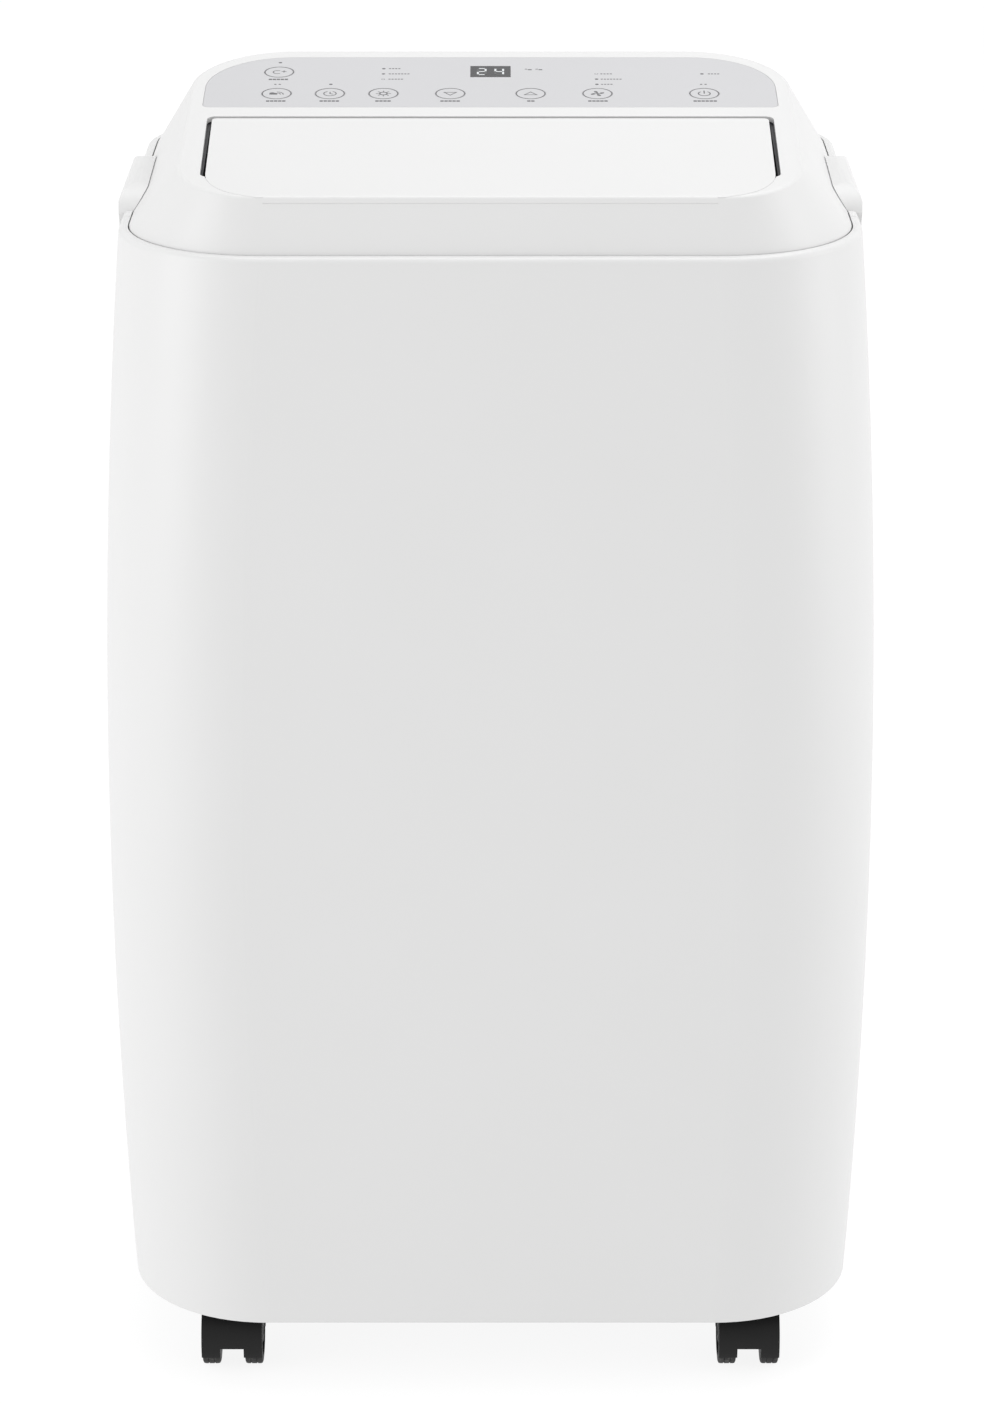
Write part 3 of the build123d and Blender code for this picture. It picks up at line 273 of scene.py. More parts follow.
TREAD = Finish("caster_tread", (0.014, 0.014, 0.014), (0.02, 0.02, 0.02), 0.65, 0.1, relief=0.02 * MM,
               specular=0.25, wear=0.12)
NET = Finish("filter_net", (0.05, 0.05, 0.055), (0.07, 0.07, 0.075), 0.7, 0.1, grain=Grain.SMOOTH)

SLOT_FINISHES: dict[str, Finish] = {
    "white_shell": WHITE, "panel_grey": PANEL, "smoked_window": SMOKE, "display_block": DUCT,
    "lamp_lens": LAMP, "circuit_board": BOARD, "inner_plastic": DUCT, "vane_plastic": VANE,
    "wheel_plastic": FAN, "motor_metal": MOTOR, "coil_fins": FINS, "galvanised_sheet": SHEET,
    "pan_plastic": PAN, "compressor_paint": CAN, "copper_pipe": COPPER, "black_rubber": RUBBER,
    "screw_steel": SCREW, "caster_black": NYLON, "tread_black": TREAD,
}


def dress_frame() -> None:
    """Give every node of the frame the finish of its material slot."""
    for part in frame["record"]["subparts"]:
        node = frame["nodes"][part["node"]]
        finish = SLOT_FINISHES[part["material_slot"]]
        node.data.materials.clear()
        node.data.materials.append(finish.material())
    log.info("dressed %d nodes", len(frame["nodes"]))


# ---------------------------------------------------------------- studio


@dataclass
class Studio:
    """Floor, lights and camera.

    Attributes:
        floor_half: Half the side of the floor.
        aim_down: How far the camera looks down, in degrees.
        distance: From the camera to the front of the machine, along the floor.
        height: Of the camera above the floor.
        lens: Focal length in millimetres.
        table_glow: Light that the floor gives of its own, as a light table does.
        sky: Strength of the even light from all round.
    """

    floor_half: float = 30.0
    aim_down: float = 19.62
    distance: float = 2.2804
    height: float = 1.2591
    lens: float = 108.56
    table_glow: float = 0.88
    sky: float = 0.78

    def build(self) -> None:
        """Make the floor, the lights and the camera."""
        self._floor()
        self._sky()
        self._softbox("left_box", (-2.5, -1.3, 1.0), (0.0, 0.0, 0.4), 1.6, 2.6, 32)
        self._softbox("right_box", (2.6, -0.5, 1.0), (0.0, 0.0, 0.4), 1.6, 2.6, 22)
        self._softbox("top_box", (0.4, 0.5, 2.8), (0.0, 0.0, 0.7), 2.0, 2.0, 27)
        self._camera()
        log.info("studio ready")

    def _floor(self) -> None:
        """Lay the plain pale floor."""
        mesh = bpy.data.meshes.new("floor")
        shape = bmesh.new()
        bmesh.ops.create_grid(shape, x_segments=1, y_segments=1, size=self.floor_half)
        shape.to_mesh(mesh)
        shape.free()
        floor = bpy.data.objects.new("floor", mesh)
        bpy.context.scene.collection.objects.link(floor)
        paint = bpy.data.materials.new("floor_paint")
        paint.use_nodes = True
        shader = paint.node_tree.nodes["Principled BSDF"]
        shader.inputs["Base Color"].default_value = (0.16, 0.16, 0.16, 1)
        shader.inputs["Roughness"].default_value = 0.9
        shader.inputs["Specular IOR Level"].default_value = 0.1
        shader.inputs["Emission Color"].default_value = (1, 1, 1, 1)
        shader.inputs["Emission Strength"].default_value = self.table_glow
        mesh.materials.append(paint)

    def _sky(self) -> None:
        """Surround the floor with even white light."""
        world = bpy.data.worlds.new("studio_white")
        world.use_nodes = True
        light = world.node_tree.nodes["Background"]
        light.inputs["Color"].default_value = (1, 1, 1, 1)
        light.inputs["Strength"].default_value = self.sky
        bpy.context.scene.world = world
        bpy.context.scene.view_settings.view_transform = "Standard"

    def _softbox(self, name: str, place: tuple[float, float, float], target: tuple[float, float, float],
                 width: float, height: float, power: float) -> None:
        """Hang a large soft light.

        Args:
            name: Name of the light.
            place: Its centre.
            target: The point that it faces.
            width: Its width.
            height: Its height.
            power: Its power in watts.
        """
        lamp = bpy.data.lights.new(name, "AREA")
        lamp.shape = "RECTANGLE"
        lamp.size = width
        lamp.size_y = height
        lamp.energy = power
        holder = bpy.data.objects.new(name, lamp)
        holder.location = place
        holder.rotation_euler = (Vector(target) - Vector(place)).to_track_quat("-Z", "Y").to_euler()
        bpy.context.scene.collection.objects.link(holder)

    def _camera(self) -> None:
        """Set the camera in front of the machine, looking down at it."""
        lens = bpy.data.cameras.new("camera")
        lens.lens = self.lens
        lens.sensor_width = 36.0
        camera = bpy.data.objects.new("camera", lens)
        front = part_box("front_shell")[0].y + 1.5 * MM
        camera.location = (0.9 * MM, front - self.distance, self.height)
        camera.rotation_euler = (math.radians(90 - self.aim_down), 0, 0)
        bpy.context.scene.collection.objects.link(camera)
        bpy.context.scene.camera = camera


# ---------------------------------------------------------------- making pieces


@dataclass
class Moulding:
    """A mesh in the making, which becomes one finished piece.

    Attributes:
        name: Name of the piece.
        body: Body of the frame that it rides on.
        finish: Its finish.
        place: Frame in which its shapes are given.
        shape: The mesh so far.
    """

    name: str
    body: str
    finish: Finish
    place: Matrix = field(default_factory=lambda: Matrix.Identity(4))
    shape: bmesh.types.BMesh = field(default_factory=bmesh.new)

    def bar(self, size: Point, centre: Point, turn: float = 0.0) -> None:
        """Add a plain bar.

        Args:
            size: Its width, depth and height.
            centre: Its middle.
            turn: Turn about the local Z axis, in degrees.
        """
        placed = (self.place @ Matrix.Translation(centre) @ Matrix.Rotation(math.radians(turn), 4, "Z")
                  @ Matrix.Diagonal((*size, 1)))
        bmesh.ops.create_cube(self.shape, size=1, matrix=placed)

    def soft_bar(self, size: Point, centre: Point, round_by: float, turn: float = 0.0) -> None:
        """Add a bar with rounded edges.

        Args:
            size: Its width, depth and height.
            centre: Its middle.
            round_by: Radius of the rounding.
            turn: Turn about the local Z axis, in degrees.
        """
        block = bmesh.new()
        bmesh.ops.create_cube(block, size=1, matrix=Matrix.Diagonal((*size, 1)))
        bmesh.ops.bevel(block, geom=block.edges[:], offset=round_by, segments=2, profile=0.5, affect="EDGES",
                        material=-1)
        self.join(block, Matrix.Translation(centre) @ Matrix.Rotation(math.radians(turn), 4, "Z"))

    def disc(self, radius: float, thick: float, centre: Point, steps: int = 24,
             turn: Matrix | None = None) -> None:
        """Add a disc that stands along local Z.

        Args:
            radius: Its radius.
            thick: Thickness.
            centre: Its middle.
            steps: Number of sides.
            turn: Turn of its axis.
        """
        placed = self.place @ Matrix.Translation(centre) @ (turn or Matrix.Identity(4))
        bmesh.ops.create_cone(self.shape, cap_ends=True, cap_tris=False, segments=steps, radius1=radius,
                              radius2=radius, depth=thick, matrix=placed)

    def lathe(self, profile: list[Place], centre: Point, steps: int = 48, angle: float = 360.0,
              start: float = 0.0, turn: Matrix | None = None) -> None:
        """Turn a closed profile about local Z.

        Args:
            profile: Its corners, as radius and height.
            centre: Where height 0 of the axis goes.
            steps: Number of steps.
            angle: Angle turned through, in degrees.
            start: Angle at which it starts, in degrees.
            turn: Turn of its axis.
        """
        ring = bmesh.new()
        corners = [ring.verts.new((radius, 0, height)) for radius, height in profile]
        edges = [ring.edges.new((corners[i - 1], corners[i])) for i in range(len(corners))]
        full = angle >= 360
        bmesh.ops.spin(ring, geom=[*corners, *edges], cent=(0, 0, 0), axis=(0, 0, 1), dvec=(0, 0, 0),
                       angle=math.radians(angle), steps=steps, use_merge=full)
        bmesh.ops.remove_doubles(ring, verts=ring.verts[:], dist=0.001 * MM)
        if not full:
            open_edges = [edge for edge in ring.edges if edge.is_boundary]
            bmesh.ops.holes_fill(ring, edges=open_edges, sides=0)
        self.join(ring, Matrix.Translation(centre) @ (turn or Matrix.Identity(4))
                   @ Matrix.Rotation(math.radians(start), 4, "Z"))

    def ring(self, inner: float, outer: float, thick: float, centre: Point, steps: int = 40,
             angle: float = 360.0, start: float = 0.0, turn: Matrix | None = None) -> None:
        """Add a flat ring, or a part of one, that lies across local Z.

        Args:
            inner: Inner radius.
            outer: Outer radius.
            thick: Thickness.
            centre: Its middle.
            steps: Number of steps.
            angle: Angle that it covers, in degrees.
            start: Angle at which it starts, in degrees.
            turn: Turn of its axis.
        """
        half = thick / 2
        self.lathe([(inner, -half), (outer, -half), (outer, half), (inner, half)], centre, steps, angle,
                   start, turn)

    def plate(self, corners: list[Place], thick: float, centre: Point) -> None:
        """Add a flat plate with straight sides.

        Args:
            corners: Its corners, in order.
            thick: Thickness.
            centre: Where corner (0, 0) goes, halfway up the plate.
        """
        flat = bmesh.new()
        face = flat.faces.new([flat.verts.new((x, y, -thick / 2)) for x, y in corners])
        raised = bmesh.ops.extrude_face_region(flat, geom=[face], use_keep_orig=True)["geom"]
        lifted = [item for item in raised if isinstance(item, bmesh.types.BMVert)]
        bmesh.ops.translate(flat, verts=lifted, vec=(0, 0, thick))
        self.join(flat, Matrix.Translation(centre))

    def join(self, part: bmesh.types.BMesh, placed: Matrix) -> None:
        """Place a part and join it to the mesh.

        Args:
            part: The part, which is used up.
            placed: Its place in the piece's own frame.
        """
        bmesh.ops.transform(part, matrix=self.place @ placed, verts=part.verts[:])
        bmesh.ops.recalc_face_normals(part, faces=part.faces[:])
        store = bpy.data.meshes.new("part")
        part.to_mesh(store)
        part.free()
        self.shape.from_mesh(store)
        bpy.data.meshes.remove(store)

    def done(self, smooth: bool = True, *stands_for: str) -> bpy.types.Object:
        """Turn the mesh into a finished piece.

        Args:
            smooth: Whether curved faces are shaded smooth.
            *stands_for: Nodes of the frame that the piece stands for.

        Returns:
            The finished object.
        """
        mesh = bpy.data.meshes.new(self.name)
        self.shape.to_mesh(mesh)
        self.shape.free()
        if smooth:
            mesh.shade_smooth()
            mesh.set_sharp_from_angle(angle=math.radians(35))
        mesh.materials.append(self.finish.material())
        piece = bpy.data.objects.new(self.name, mesh)
        bpy.context.scene.collection.objects.link(piece)
        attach(piece, self.body)
        if stands_for:
            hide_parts(*stands_for)
        log.info("%s: %d faces on %s", self.name, len(mesh.polygons), self.body)
        return piece


# ---------------------------------------------------------------- control panel


@dataclass(frozen=True)
class Deck:
    """The sloping deck: x across, y up the slope, z out of it.

    Attributes:
        ridge: Front edge of the deck, as y and z.
        slope: Rise towards the back, in degrees.
    """

    ridge: Place = (-166 * MM, 735 * MM)
    slope: float = 9.5

    def frame(self) -> Matrix:
        """Give the deck's frame."""
        return (Matrix.Translation((0, *self.ridge)) @ Matrix.Rotation(math.radians(self.slope), 4, "X"))


class Icon(Enum):
    """What is printed in a key's ring."""

    MOON = "sleep"
    LOUVRE = "swing"
    CLOCK = "timer"
    SUN = "mode"
    LOWER = "down"
    RAISE = "up"
    FAN = "speed"
    STANDBY = "power"


@dataclass
class KeyPrint:
    """The printed ring and icon of one key.

    Attributes:
        icon: Which icon.
        centre: Middle of the key on the deck.
        ring_outer: Outer radius of the printed ring.
        line: Width of a printed line.
        ink: How far the print stands out of the key.
    """

    icon: Icon
    centre: Place
    ring_outer: float = 8.7 * MM
    line: float = 0.62 * MM
    ink: float = 0.08 * MM

    def build(self) -> None:
        """Print the ring and the icon on the key, so that they move with it."""
        key = f"key_{self.icon.value}"
        place = Deck().frame() @ Matrix.Translation((*self.centre, 0))
        print_ = Moulding(f"{key}_print", key, PRINT, place)
        print_.ring(self.ring_outer - self.line, self.ring_outer, self.ink, (0, 0, 0))
        draw = {
            Icon.MOON: self._moon, Icon.LOUVRE: self._louvre, Icon.CLOCK: self._clock,
            Icon.SUN: self._sun, Icon.LOWER: self._lower, Icon.RAISE: self._raise,
            Icon.FAN: self._fan, Icon.STANDBY: self._standby,
        }
        draw[self.icon](print_)
        print_.done(smooth=False)

    def _stroke(self, print_: Moulding, start: Place, end: Place, line: float | None = None) -> None:
        """Print a straight line.

        Args:
            print_: The print so far.
            start: Where the line starts, in millimetres from the key's middle.
            end: Where it ends.
            line: Its width, where it isn't the usual one.
        """
        run = (Vector(end) - Vector(start)) * MM
        middle = (Vector(end) + Vector(start)) / 2 * MM
        width = line or self.line
        turn = math.degrees(math.atan2(run.y, run.x))
        print_.bar((run.length + width, width, self.ink), (*middle, 0), turn)

    def _moon(self, print_: Moulding) -> None:
        """Print a crescent with a spark beside it."""
        print_.ring(2.25 * MM, 2.9 * MM, self.ink, (-1 * MM, 0, 0), 20, 250, 55)
        self._stroke(print_, (1.6, 1.0), (4.0, 1.0))
        self._stroke(print_, (2.8, -0.2), (2.8, 2.2))

    def _louvre(self, print_: Moulding) -> None:
        """Print a louvre blade with air swinging off it."""
        print_.plate([(-4.2 * MM, -1.6 * MM), (0.4 * MM, -1.6 * MM), (0.4 * MM, 0.2 * MM),
                      (-2.4 * MM, 2 * MM), (-4.2 * MM, 1.2 * MM)], self.ink, (0, 0, 0))
        half = 0.3
        for radius in (2.2, 3.9):
            print_.ring((radius - half) * MM, (radius + half) * MM, self.ink, (0, -1.2 * MM, 0), 12, 95, -5)

    def _clock(self, print_: Moulding) -> None:
        """Print a clock face."""
        print_.ring(3.3 * MM, 3.95 * MM, self.ink, (0, 0, 0), 30, 310, 115)
        self._stroke(print_, (0, 0), (0, 2.3))
        self._stroke(print_, (0, 0), (1.6, -0.9))

    def _sun(self, print_: Moulding) -> None:
        """Print a ring with eight rays."""
        print_.ring(1.7 * MM, 2.6 * MM, self.ink, (0, 0, 0), 24)
        for ray in range(8):
            angle = math.radians(45 * ray)
            near, far = ((r * math.cos(angle), r * math.sin(angle)) for r in (3.1, 4.1))
            self._stroke(print_, near, far)

    def _triangle(self, print_: Moulding, up: int) -> None:
        """Print the outline of a triangle.

        Args:
            print_: The print so far.
            up: 1 to point up the deck, -1 to point down it.
        """
        corners = [(-3.6, -2.0 * up), (3.6, -2.0 * up), (0, 2.6 * up)]
        for i in range(3):
            self._stroke(print_, corners[i - 1], corners[i])

    def _lower(self, print_: Moulding) -> None:
        """Print a triangle that points down the deck."""
        self._triangle(print_, -1)

    def _raise(self, print_: Moulding) -> None:
        """Print a triangle that points up the deck."""
        self._triangle(print_, 1)

    def _fan(self, print_: Moulding) -> None:
        """Print a fan with four blades."""
        print_.disc(0.9 * MM, self.ink, (0, 0, 0), 16)
        for blade in range(4):
            turned = math.radians(90 * blade + 20)
            corners = [(0.7, -0.2), (2.2, -1.3), (4.0, -0.7), (4.2, 0.7), (2.4, 0.9)]
            print_.plate([((x * math.cos(turned) - y * math.sin(turned)) * MM,
                           (x * math.sin(turned) + y * math.cos(turned)) * MM) for x, y in corners],
                         self.ink, (0, 0, 0))

    def _standby(self, print_: Moulding) -> None:
        """Print a broken ring with an upright line."""
        print_.ring(3.1 * MM, 3.85 * MM, self.ink, (0, 0, 0), 30, 292, 124)
        self._stroke(print_, (0, 0.4), (0, 4.2), 0.75 * MM)


@dataclass
class ControlPanel:
    """Everything printed on or fitted into the panel.

    Attributes:
        keys: Middle of each key on the deck, in millimetres.
        label_drop: From a key's middle to its label.
        ink: How far a print stands out of the panel.
        words: Labels under the keys: key, and the number of dashes.
        lamp_words: Labels beside lamps: x of the start, place up the deck, and the number of dashes.
        unlit: Middle of each lamp that shows no colour, in millimetres.
    """

    keys: dict[Icon, Place] = field(default_factory=lambda: {
        Icon.MOON: (-125.5, 193.5), Icon.LOUVRE: (-125.5, 158.2), Icon.CLOCK: (-94.2, 158.2),
        Icon.SUN: (-62.8, 158.2), Icon.LOWER: (-23.6, 158.2), Icon.RAISE: (23.6, 158.2),
        Icon.FAN: (62.8, 158.2), Icon.STANDBY: (125.5, 158.2)})
    label_drop: float = 12.1
    ink: float = 0.08 * MM
    words: dict[Icon, int] = field(default_factory=lambda: {
        Icon.MOON: 5, Icon.LOUVRE: 5, Icon.CLOCK: 5, Icon.SUN: 4, Icon.LOWER: 5, Icon.RAISE: 2,
        Icon.FAN: 5, Icon.STANDBY: 6})
    lamp_words: tuple[tuple[float, float, int], ...] = (
        (-60.4, 199.2, 4), (-60.4, 190.5, 7), (-60.4, 181.8, 5), (65.2, 190.5, 4), (65.2, 181.8, 7),
        (65.2, 173.3, 4), (129.0, 190.5, 4))
    unlit: tuple[Place, ...] = ((-63.5, 181.8), (62.8, 190.5))

    def build(self) -> None:
        """Print the keys and the panel, and fit the display."""
        for icon, (x, y) in self.keys.items():
            KeyPrint(icon, (x * MM, y * MM)).build()
        self._labels()
        self._lamp_rims()
        self._digits()

    def _labels(self) -> None:
        """Print the labels: plain dashes in place of words, and the small marks."""
        labels = Moulding("panel_labels", "cabinet", PRINT, Deck().frame())
        for icon, count in self.words.items():
            x, y = self.keys[icon]
            self._dashes(labels, x, y - self.label_drop, count, 2.35, 1.95, 2.0, centred=True)
        for x, y, count in self.lamp_words:
            self._dashes(labels, x, y, count, 1.85, 1.25, 1.2, centred=False)
        for x in (-125.6, 125.6):
            self._dashes(labels, x, 173.2, 2, 2.6, 1.3, 1.3, centred=True)
        for x in (22.8, 29.1):
            labels.ring(0.45 * MM, 0.8 * MM, self.ink, ((x - 1.6) * MM, 198.4 * MM, 0), 14)
            labels.bar((2.2 * MM, 1.5 * MM, self.ink), ((x + 0.6) * MM, 197.5 * MM, 0))
        labels.done(smooth=False)

    def _dashes(self, labels: Moulding, x: float, y: float, count: int, pitch: float, width: float,
                height: float, centred: bool) -> None:
        """Print a row of dashes.

        Args:
            labels: The print so far.
            x: Middle or start of the row, in millimetres.
            y: Place up the deck, in millimetres.
            count: Number of dashes.
            pitch: From one dash to the next, in millimetres.
            width: Width of a dash, in millimetres.
            height: Height of a dash, in millimetres.
            centred: Whether x is the middle of the row.
        """
        first = x - (count - 1) * pitch / 2 if centred else x + width / 2
        for i in range(count):
            labels.bar((width * MM, height * MM, self.ink), ((first + i * pitch) * MM, y * MM, 0))

    def _lamp_rims(self) -> None:
        """Fit pale caps on the lamps that show no colour."""
        caps = Moulding("lamp_caps", "cabinet", PANEL, Deck().frame())
        for x, y in self.unlit:
            caps.disc(0.8 * MM, self.ink, (x * MM, y * MM, 0), 18)
        caps.done(smooth=False)

    def _digits(self) -> None:
        """Show two seven-segment digits in the display window."""
        lit = {-1: "abged", 1: "fgbc"}
        digits = Moulding("display_digits", "cabinet", DIGIT, Deck().frame())
        ghosts = Moulding("display_ghosts", "cabinet", GHOST, Deck().frame())
        wide, tall, line = 4.6, 5.0, 1.15
        offset, height = 5.2, 194.4
        runs = {"a": (0, tall, 0), "g": (0, 0, 0), "d": (0, -tall, 0),
                "f": (-wide / 2, tall / 2, 90), "b": (wide / 2, tall / 2, 90),
                "e": (-wide / 2, -tall / 2, 90), "c": (wide / 2, -tall / 2, 90)}
        for side, on in lit.items():
            for name, (x, y, turn) in runs.items():
                target = digits if name in on else ghosts
                length = (wide if turn == 0 else tall) - line
                target.bar((length * MM, line * MM, self.ink),
                           ((side * offset + x) * MM, (height + y) * MM, 0), turn)
        digits.done(smooth=False)
        ghosts.done(smooth=False)


# ---------------------------------------------------------------- louvre outlet


@dataclass
class LouvreOutlet:
    """Seal in the gap round the flap.

    Attributes:
        seal_half: Half the length of the front seal.
        seal_thick: Thickness of the front seal.
        seal_depth: How far back it runs.
        corner: Radius of the flap's front corners.
        corner_x: Where those corners are centred, across the deck.
        ring_gap: From the flap's corner to the inside of the corner strip.
        ring_thick: Width of the corner strip.
        ring_depth: Height of the corner strip.
    """

    seal_half: float = 125.8 * MM
    seal_thick: float = 0.36 * MM
    seal_depth: float = 5.0 * MM
    corner: float = 34.0 * MM
    corner_x: float = 126.0 * MM
    ring_gap: float = 0.03 * MM
    ring_thick: float = 0.34 * MM
    ring_depth: float = 3.2 * MM

    def build(self) -> None:
        """Make the strip along the front and one round each front corner."""
        seal = Moulding("flap_seal", "cabinet", WHITE, Deck().frame())
        seal.bar((2 * self.seal_half, self.seal_depth, self.seal_thick),
                 (0, self.seal_depth / 2 - 2.15 * MM, -3.2 * MM))
        inner = self.corner + self.ring_gap
        for side, start in ((-1, 191), (1, 270)):
            seal.ring(inner, inner + self.ring_thick, self.ring_depth,
                      (side * self.corner_x, self.corner, -1.75 * MM), 20, 79, start)
        seal.done(smooth=False)


# ---------------------------------------------------------------- rear


WALL_FRAME = Matrix(((-1, 0, 0, 0), (0, 0, 1, 0), (0, 1, 0, 0), (0, 0, 0, 1)))


@dataclass
class FilterNet:
    """The fine woven net behind a filter grille, and its pull tab.

    Attributes:
        grille: Node and body of the grille.
        pitch: From one thread to the next.
        thread: Thickness of a thread.
        margin: Width of the grille's frame.
        depth: From the back of the grille to the net.
    """

    grille: str
    pitch: float = 1.6 * MM
    thread: float = 0.34 * MM
    margin: float = 9.6 * MM
    depth: float = 1.6 * MM

    def build(self) -> None:
        """Weave the net and fit the tab."""
        low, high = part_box(self.grille)
        net = Moulding(f"{self.grille}_net", self.grille, NET)
        across, up = high.x - low.x - 2 * self.margin, high.z - low.z - 2 * self.margin
        middle = (low + high) / 2
        back = low.y + self.depth
        for i in range(int(across / self.pitch) + 1):
            x = middle.x + (i - int(across / self.pitch) / 2) * self.pitch
            net.bar((self.thread, self.thread, up), (x, back, middle.z))
        for i in range(int(up / self.pitch) + 1):
            z = middle.z + (i - int(up / self.pitch) / 2) * self.pitch
            net.bar((across, self.thread, self.thread), (middle.x, back + self.thread / 2, z))
        net.done(smooth=False)
        self._tabs(low, high)

    def _tabs(self, low: Vector, high: Vector) -> None:
        """Fit two grips on the frame's upper edge.

        Args:
            low: Lowest corner of the grille.
            high: Its highest corner.
        """
        tabs = Moulding(f"{self.grille}_tabs", self.grille, WHITE)
        for side in (-1, 1):
            x = side * (high.x - low.x) / 4
            middle = high.z - 4.6 * MM
            tabs.soft_bar((34 * MM, 2.4 * MM, 5.2 * MM), (x, high.y - 0.1 * MM, middle), 0.7 * MM)
            for rib in range(-2, 3):
                tabs.soft_bar((1.2 * MM, 1.2 * MM, 3.6 * MM),
                              (x + rib * 5 * MM, high.y + 1.2 * MM, middle), 0.35 * MM)
        tabs.done()


@dataclass
class FinPack:
    """The close fins that fill a coil between its carrying fins.

    Attributes:
        coil: Node of the coil.
        pitch: From one fin to the next.
        thick: Thickness of a fin.
        edge: Room kept at each end of the coil.
    """

    coil: str
    pitch: float = 1.0 * MM
    thick: float = 0.14 * MM
    edge: float = 11.5 * MM

    def build(self) -> None:
        """Stack the fins, on the side that the air enters."""
        low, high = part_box(self.coil)
        fins = Moulding(f"{self.coil}_fins", "cabinet", FINS)
        count = int((high.x - low.x - 2 * self.edge) / self.pitch)
        middle = (low + high) / 2
        depth = (high.y - low.y) / 2 - 7 * MM
        for i in range(count + 1):
            x = middle.x + (i - count / 2) * self.pitch
            fins.bar((self.thick, depth, high.z - low.z - 4 * MM),
                     (x, middle.y + depth / 2 + 3 * MM, middle.z))
        fins.done(smooth=False)


@dataclass
class HoseOutlet:
    """Guard and screws of the hose outlet.

    Attributes:
        bore: Radius of the outlet.
        wire: Half the thickness of a guard ring.
        screw_circle: Radius at which the collar's screws sit.
    """

    bore: float = 71.6 * MM
    wire: float = 1.0 * MM
    screw_circle: float = 79.8 * MM

    def build(self) -> None:
        """Make the guard and the screws."""
        low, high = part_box("exhaust_collar")
        middle = (low + high) / 2
        place = Matrix.Translation((middle.x, low.y - 6 * MM, middle.z)) @ WALL_FRAME
        guard = Moulding("outlet_guard", "cabinet", WHITE, place)
        for radius in (13 * MM, 27 * MM, 41 * MM, 55 * MM):
            guard.ring(radius - self.wire, radius + self.wire, 2 * self.wire, (0, 0, 0), 56)
        guard.ring(self.bore - 3 * MM, self.bore, 4 * MM, (0, 0, 0), 72)
        for spoke in range(6):
            angle = 60 * spoke
            reach = self.bore - 12 * MM
            turned = math.radians(angle)
            middle_radius = 12 * MM + reach / 2
            guard.bar((reach, 1.8 * MM, 3 * MM), (middle_radius * math.cos(turned),
                                                 middle_radius * math.sin(turned), 0), angle)
        guard.done()
        self._screws(middle)

    def _screws(self, middle: Vector) -> None:
        """Screw the collar to the wall.

        Args:
            middle: Middle of the collar.
        """
        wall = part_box("rear_shell")[1].y
        place = Matrix.Translation((middle.x, wall + 3 * MM, middle.z)) @ WALL_FRAME
        screws = Moulding("collar_screws", "cabinet", SCREW, place)
        for i in range(4):
            angle = math.radians(45 + 90 * i)
            spot = (self.screw_circle * math.cos(angle), self.screw_circle * math.sin(angle), 0)
            screws.lathe([(0, -0.4 * MM), (3 * MM, -0.4 * MM), (3 * MM, 0.5 * MM), (2.3 * MM, 1.3 * MM),
                          (1.5 * MM, 1.5 * MM), (1.3 * MM, 0.7 * MM), (0, 0.7 * MM)], spot, 28)
        screws.done()


@dataclass
class RatingPlate:
    """A plain plate on the rear wall, with bars where a maker prints data.

    Attributes:
        centre: Middle of the plate, as x and z.
        size: Its width and height.
        film: Its thickness.
    """

    centre: Place = (-131 * MM, 424 * MM)
    size: Place = (60 * MM, 84 * MM)
    film: float = 0.25 * MM

    def build(self) -> None:
        """Stick the plate on and print its bars."""
        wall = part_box("rear_shell")[1].y
        place = Matrix.Translation((self.centre[0], wall, self.centre[1])) @ WALL_FRAME
        plate = Moulding("rating_plate", "cabinet", LABEL, place)
        plate.soft_bar((*self.size, 2 * self.film), (0, 0, 0), 0.1 * MM)
        plate.done()
        bars = Moulding("rating_bars", "cabinet", PRINT, place)
        width, height = self.size
        top = height / 2 - 8 * MM
        bars.bar((width - 12 * MM, 3.2 * MM, 0.1 * MM), (0, top, self.film))
        for row in range(11):
            y = top - 8 * MM - row * 5.6 * MM
            left = (14 + 5 * ((row * 7) % 3)) * MM
            right = (8 + 4 * ((row * 5) % 4)) * MM
            bars.bar((left, 1.3 * MM, 0.1 * MM), (-width / 2 + 6 * MM + left / 2, y, self.film))
            bars.bar((right, 1.3 * MM, 0.1 * MM), (width / 2 - 6 * MM - right / 2, y, self.film))
        for side in (-1, 1):
            bars.bar((0.3 * MM, height - 5 * MM, 0.1 * MM), (side * (width / 2 - 2.5 * MM), 0, self.film))
            bars.bar((width - 5 * MM, 0.3 * MM, 0.1 * MM), (0, side * (height / 2 - 2.5 * MM), self.film))
        bars.done(smooth=False)


# ---------------------------------------------------------------- casters


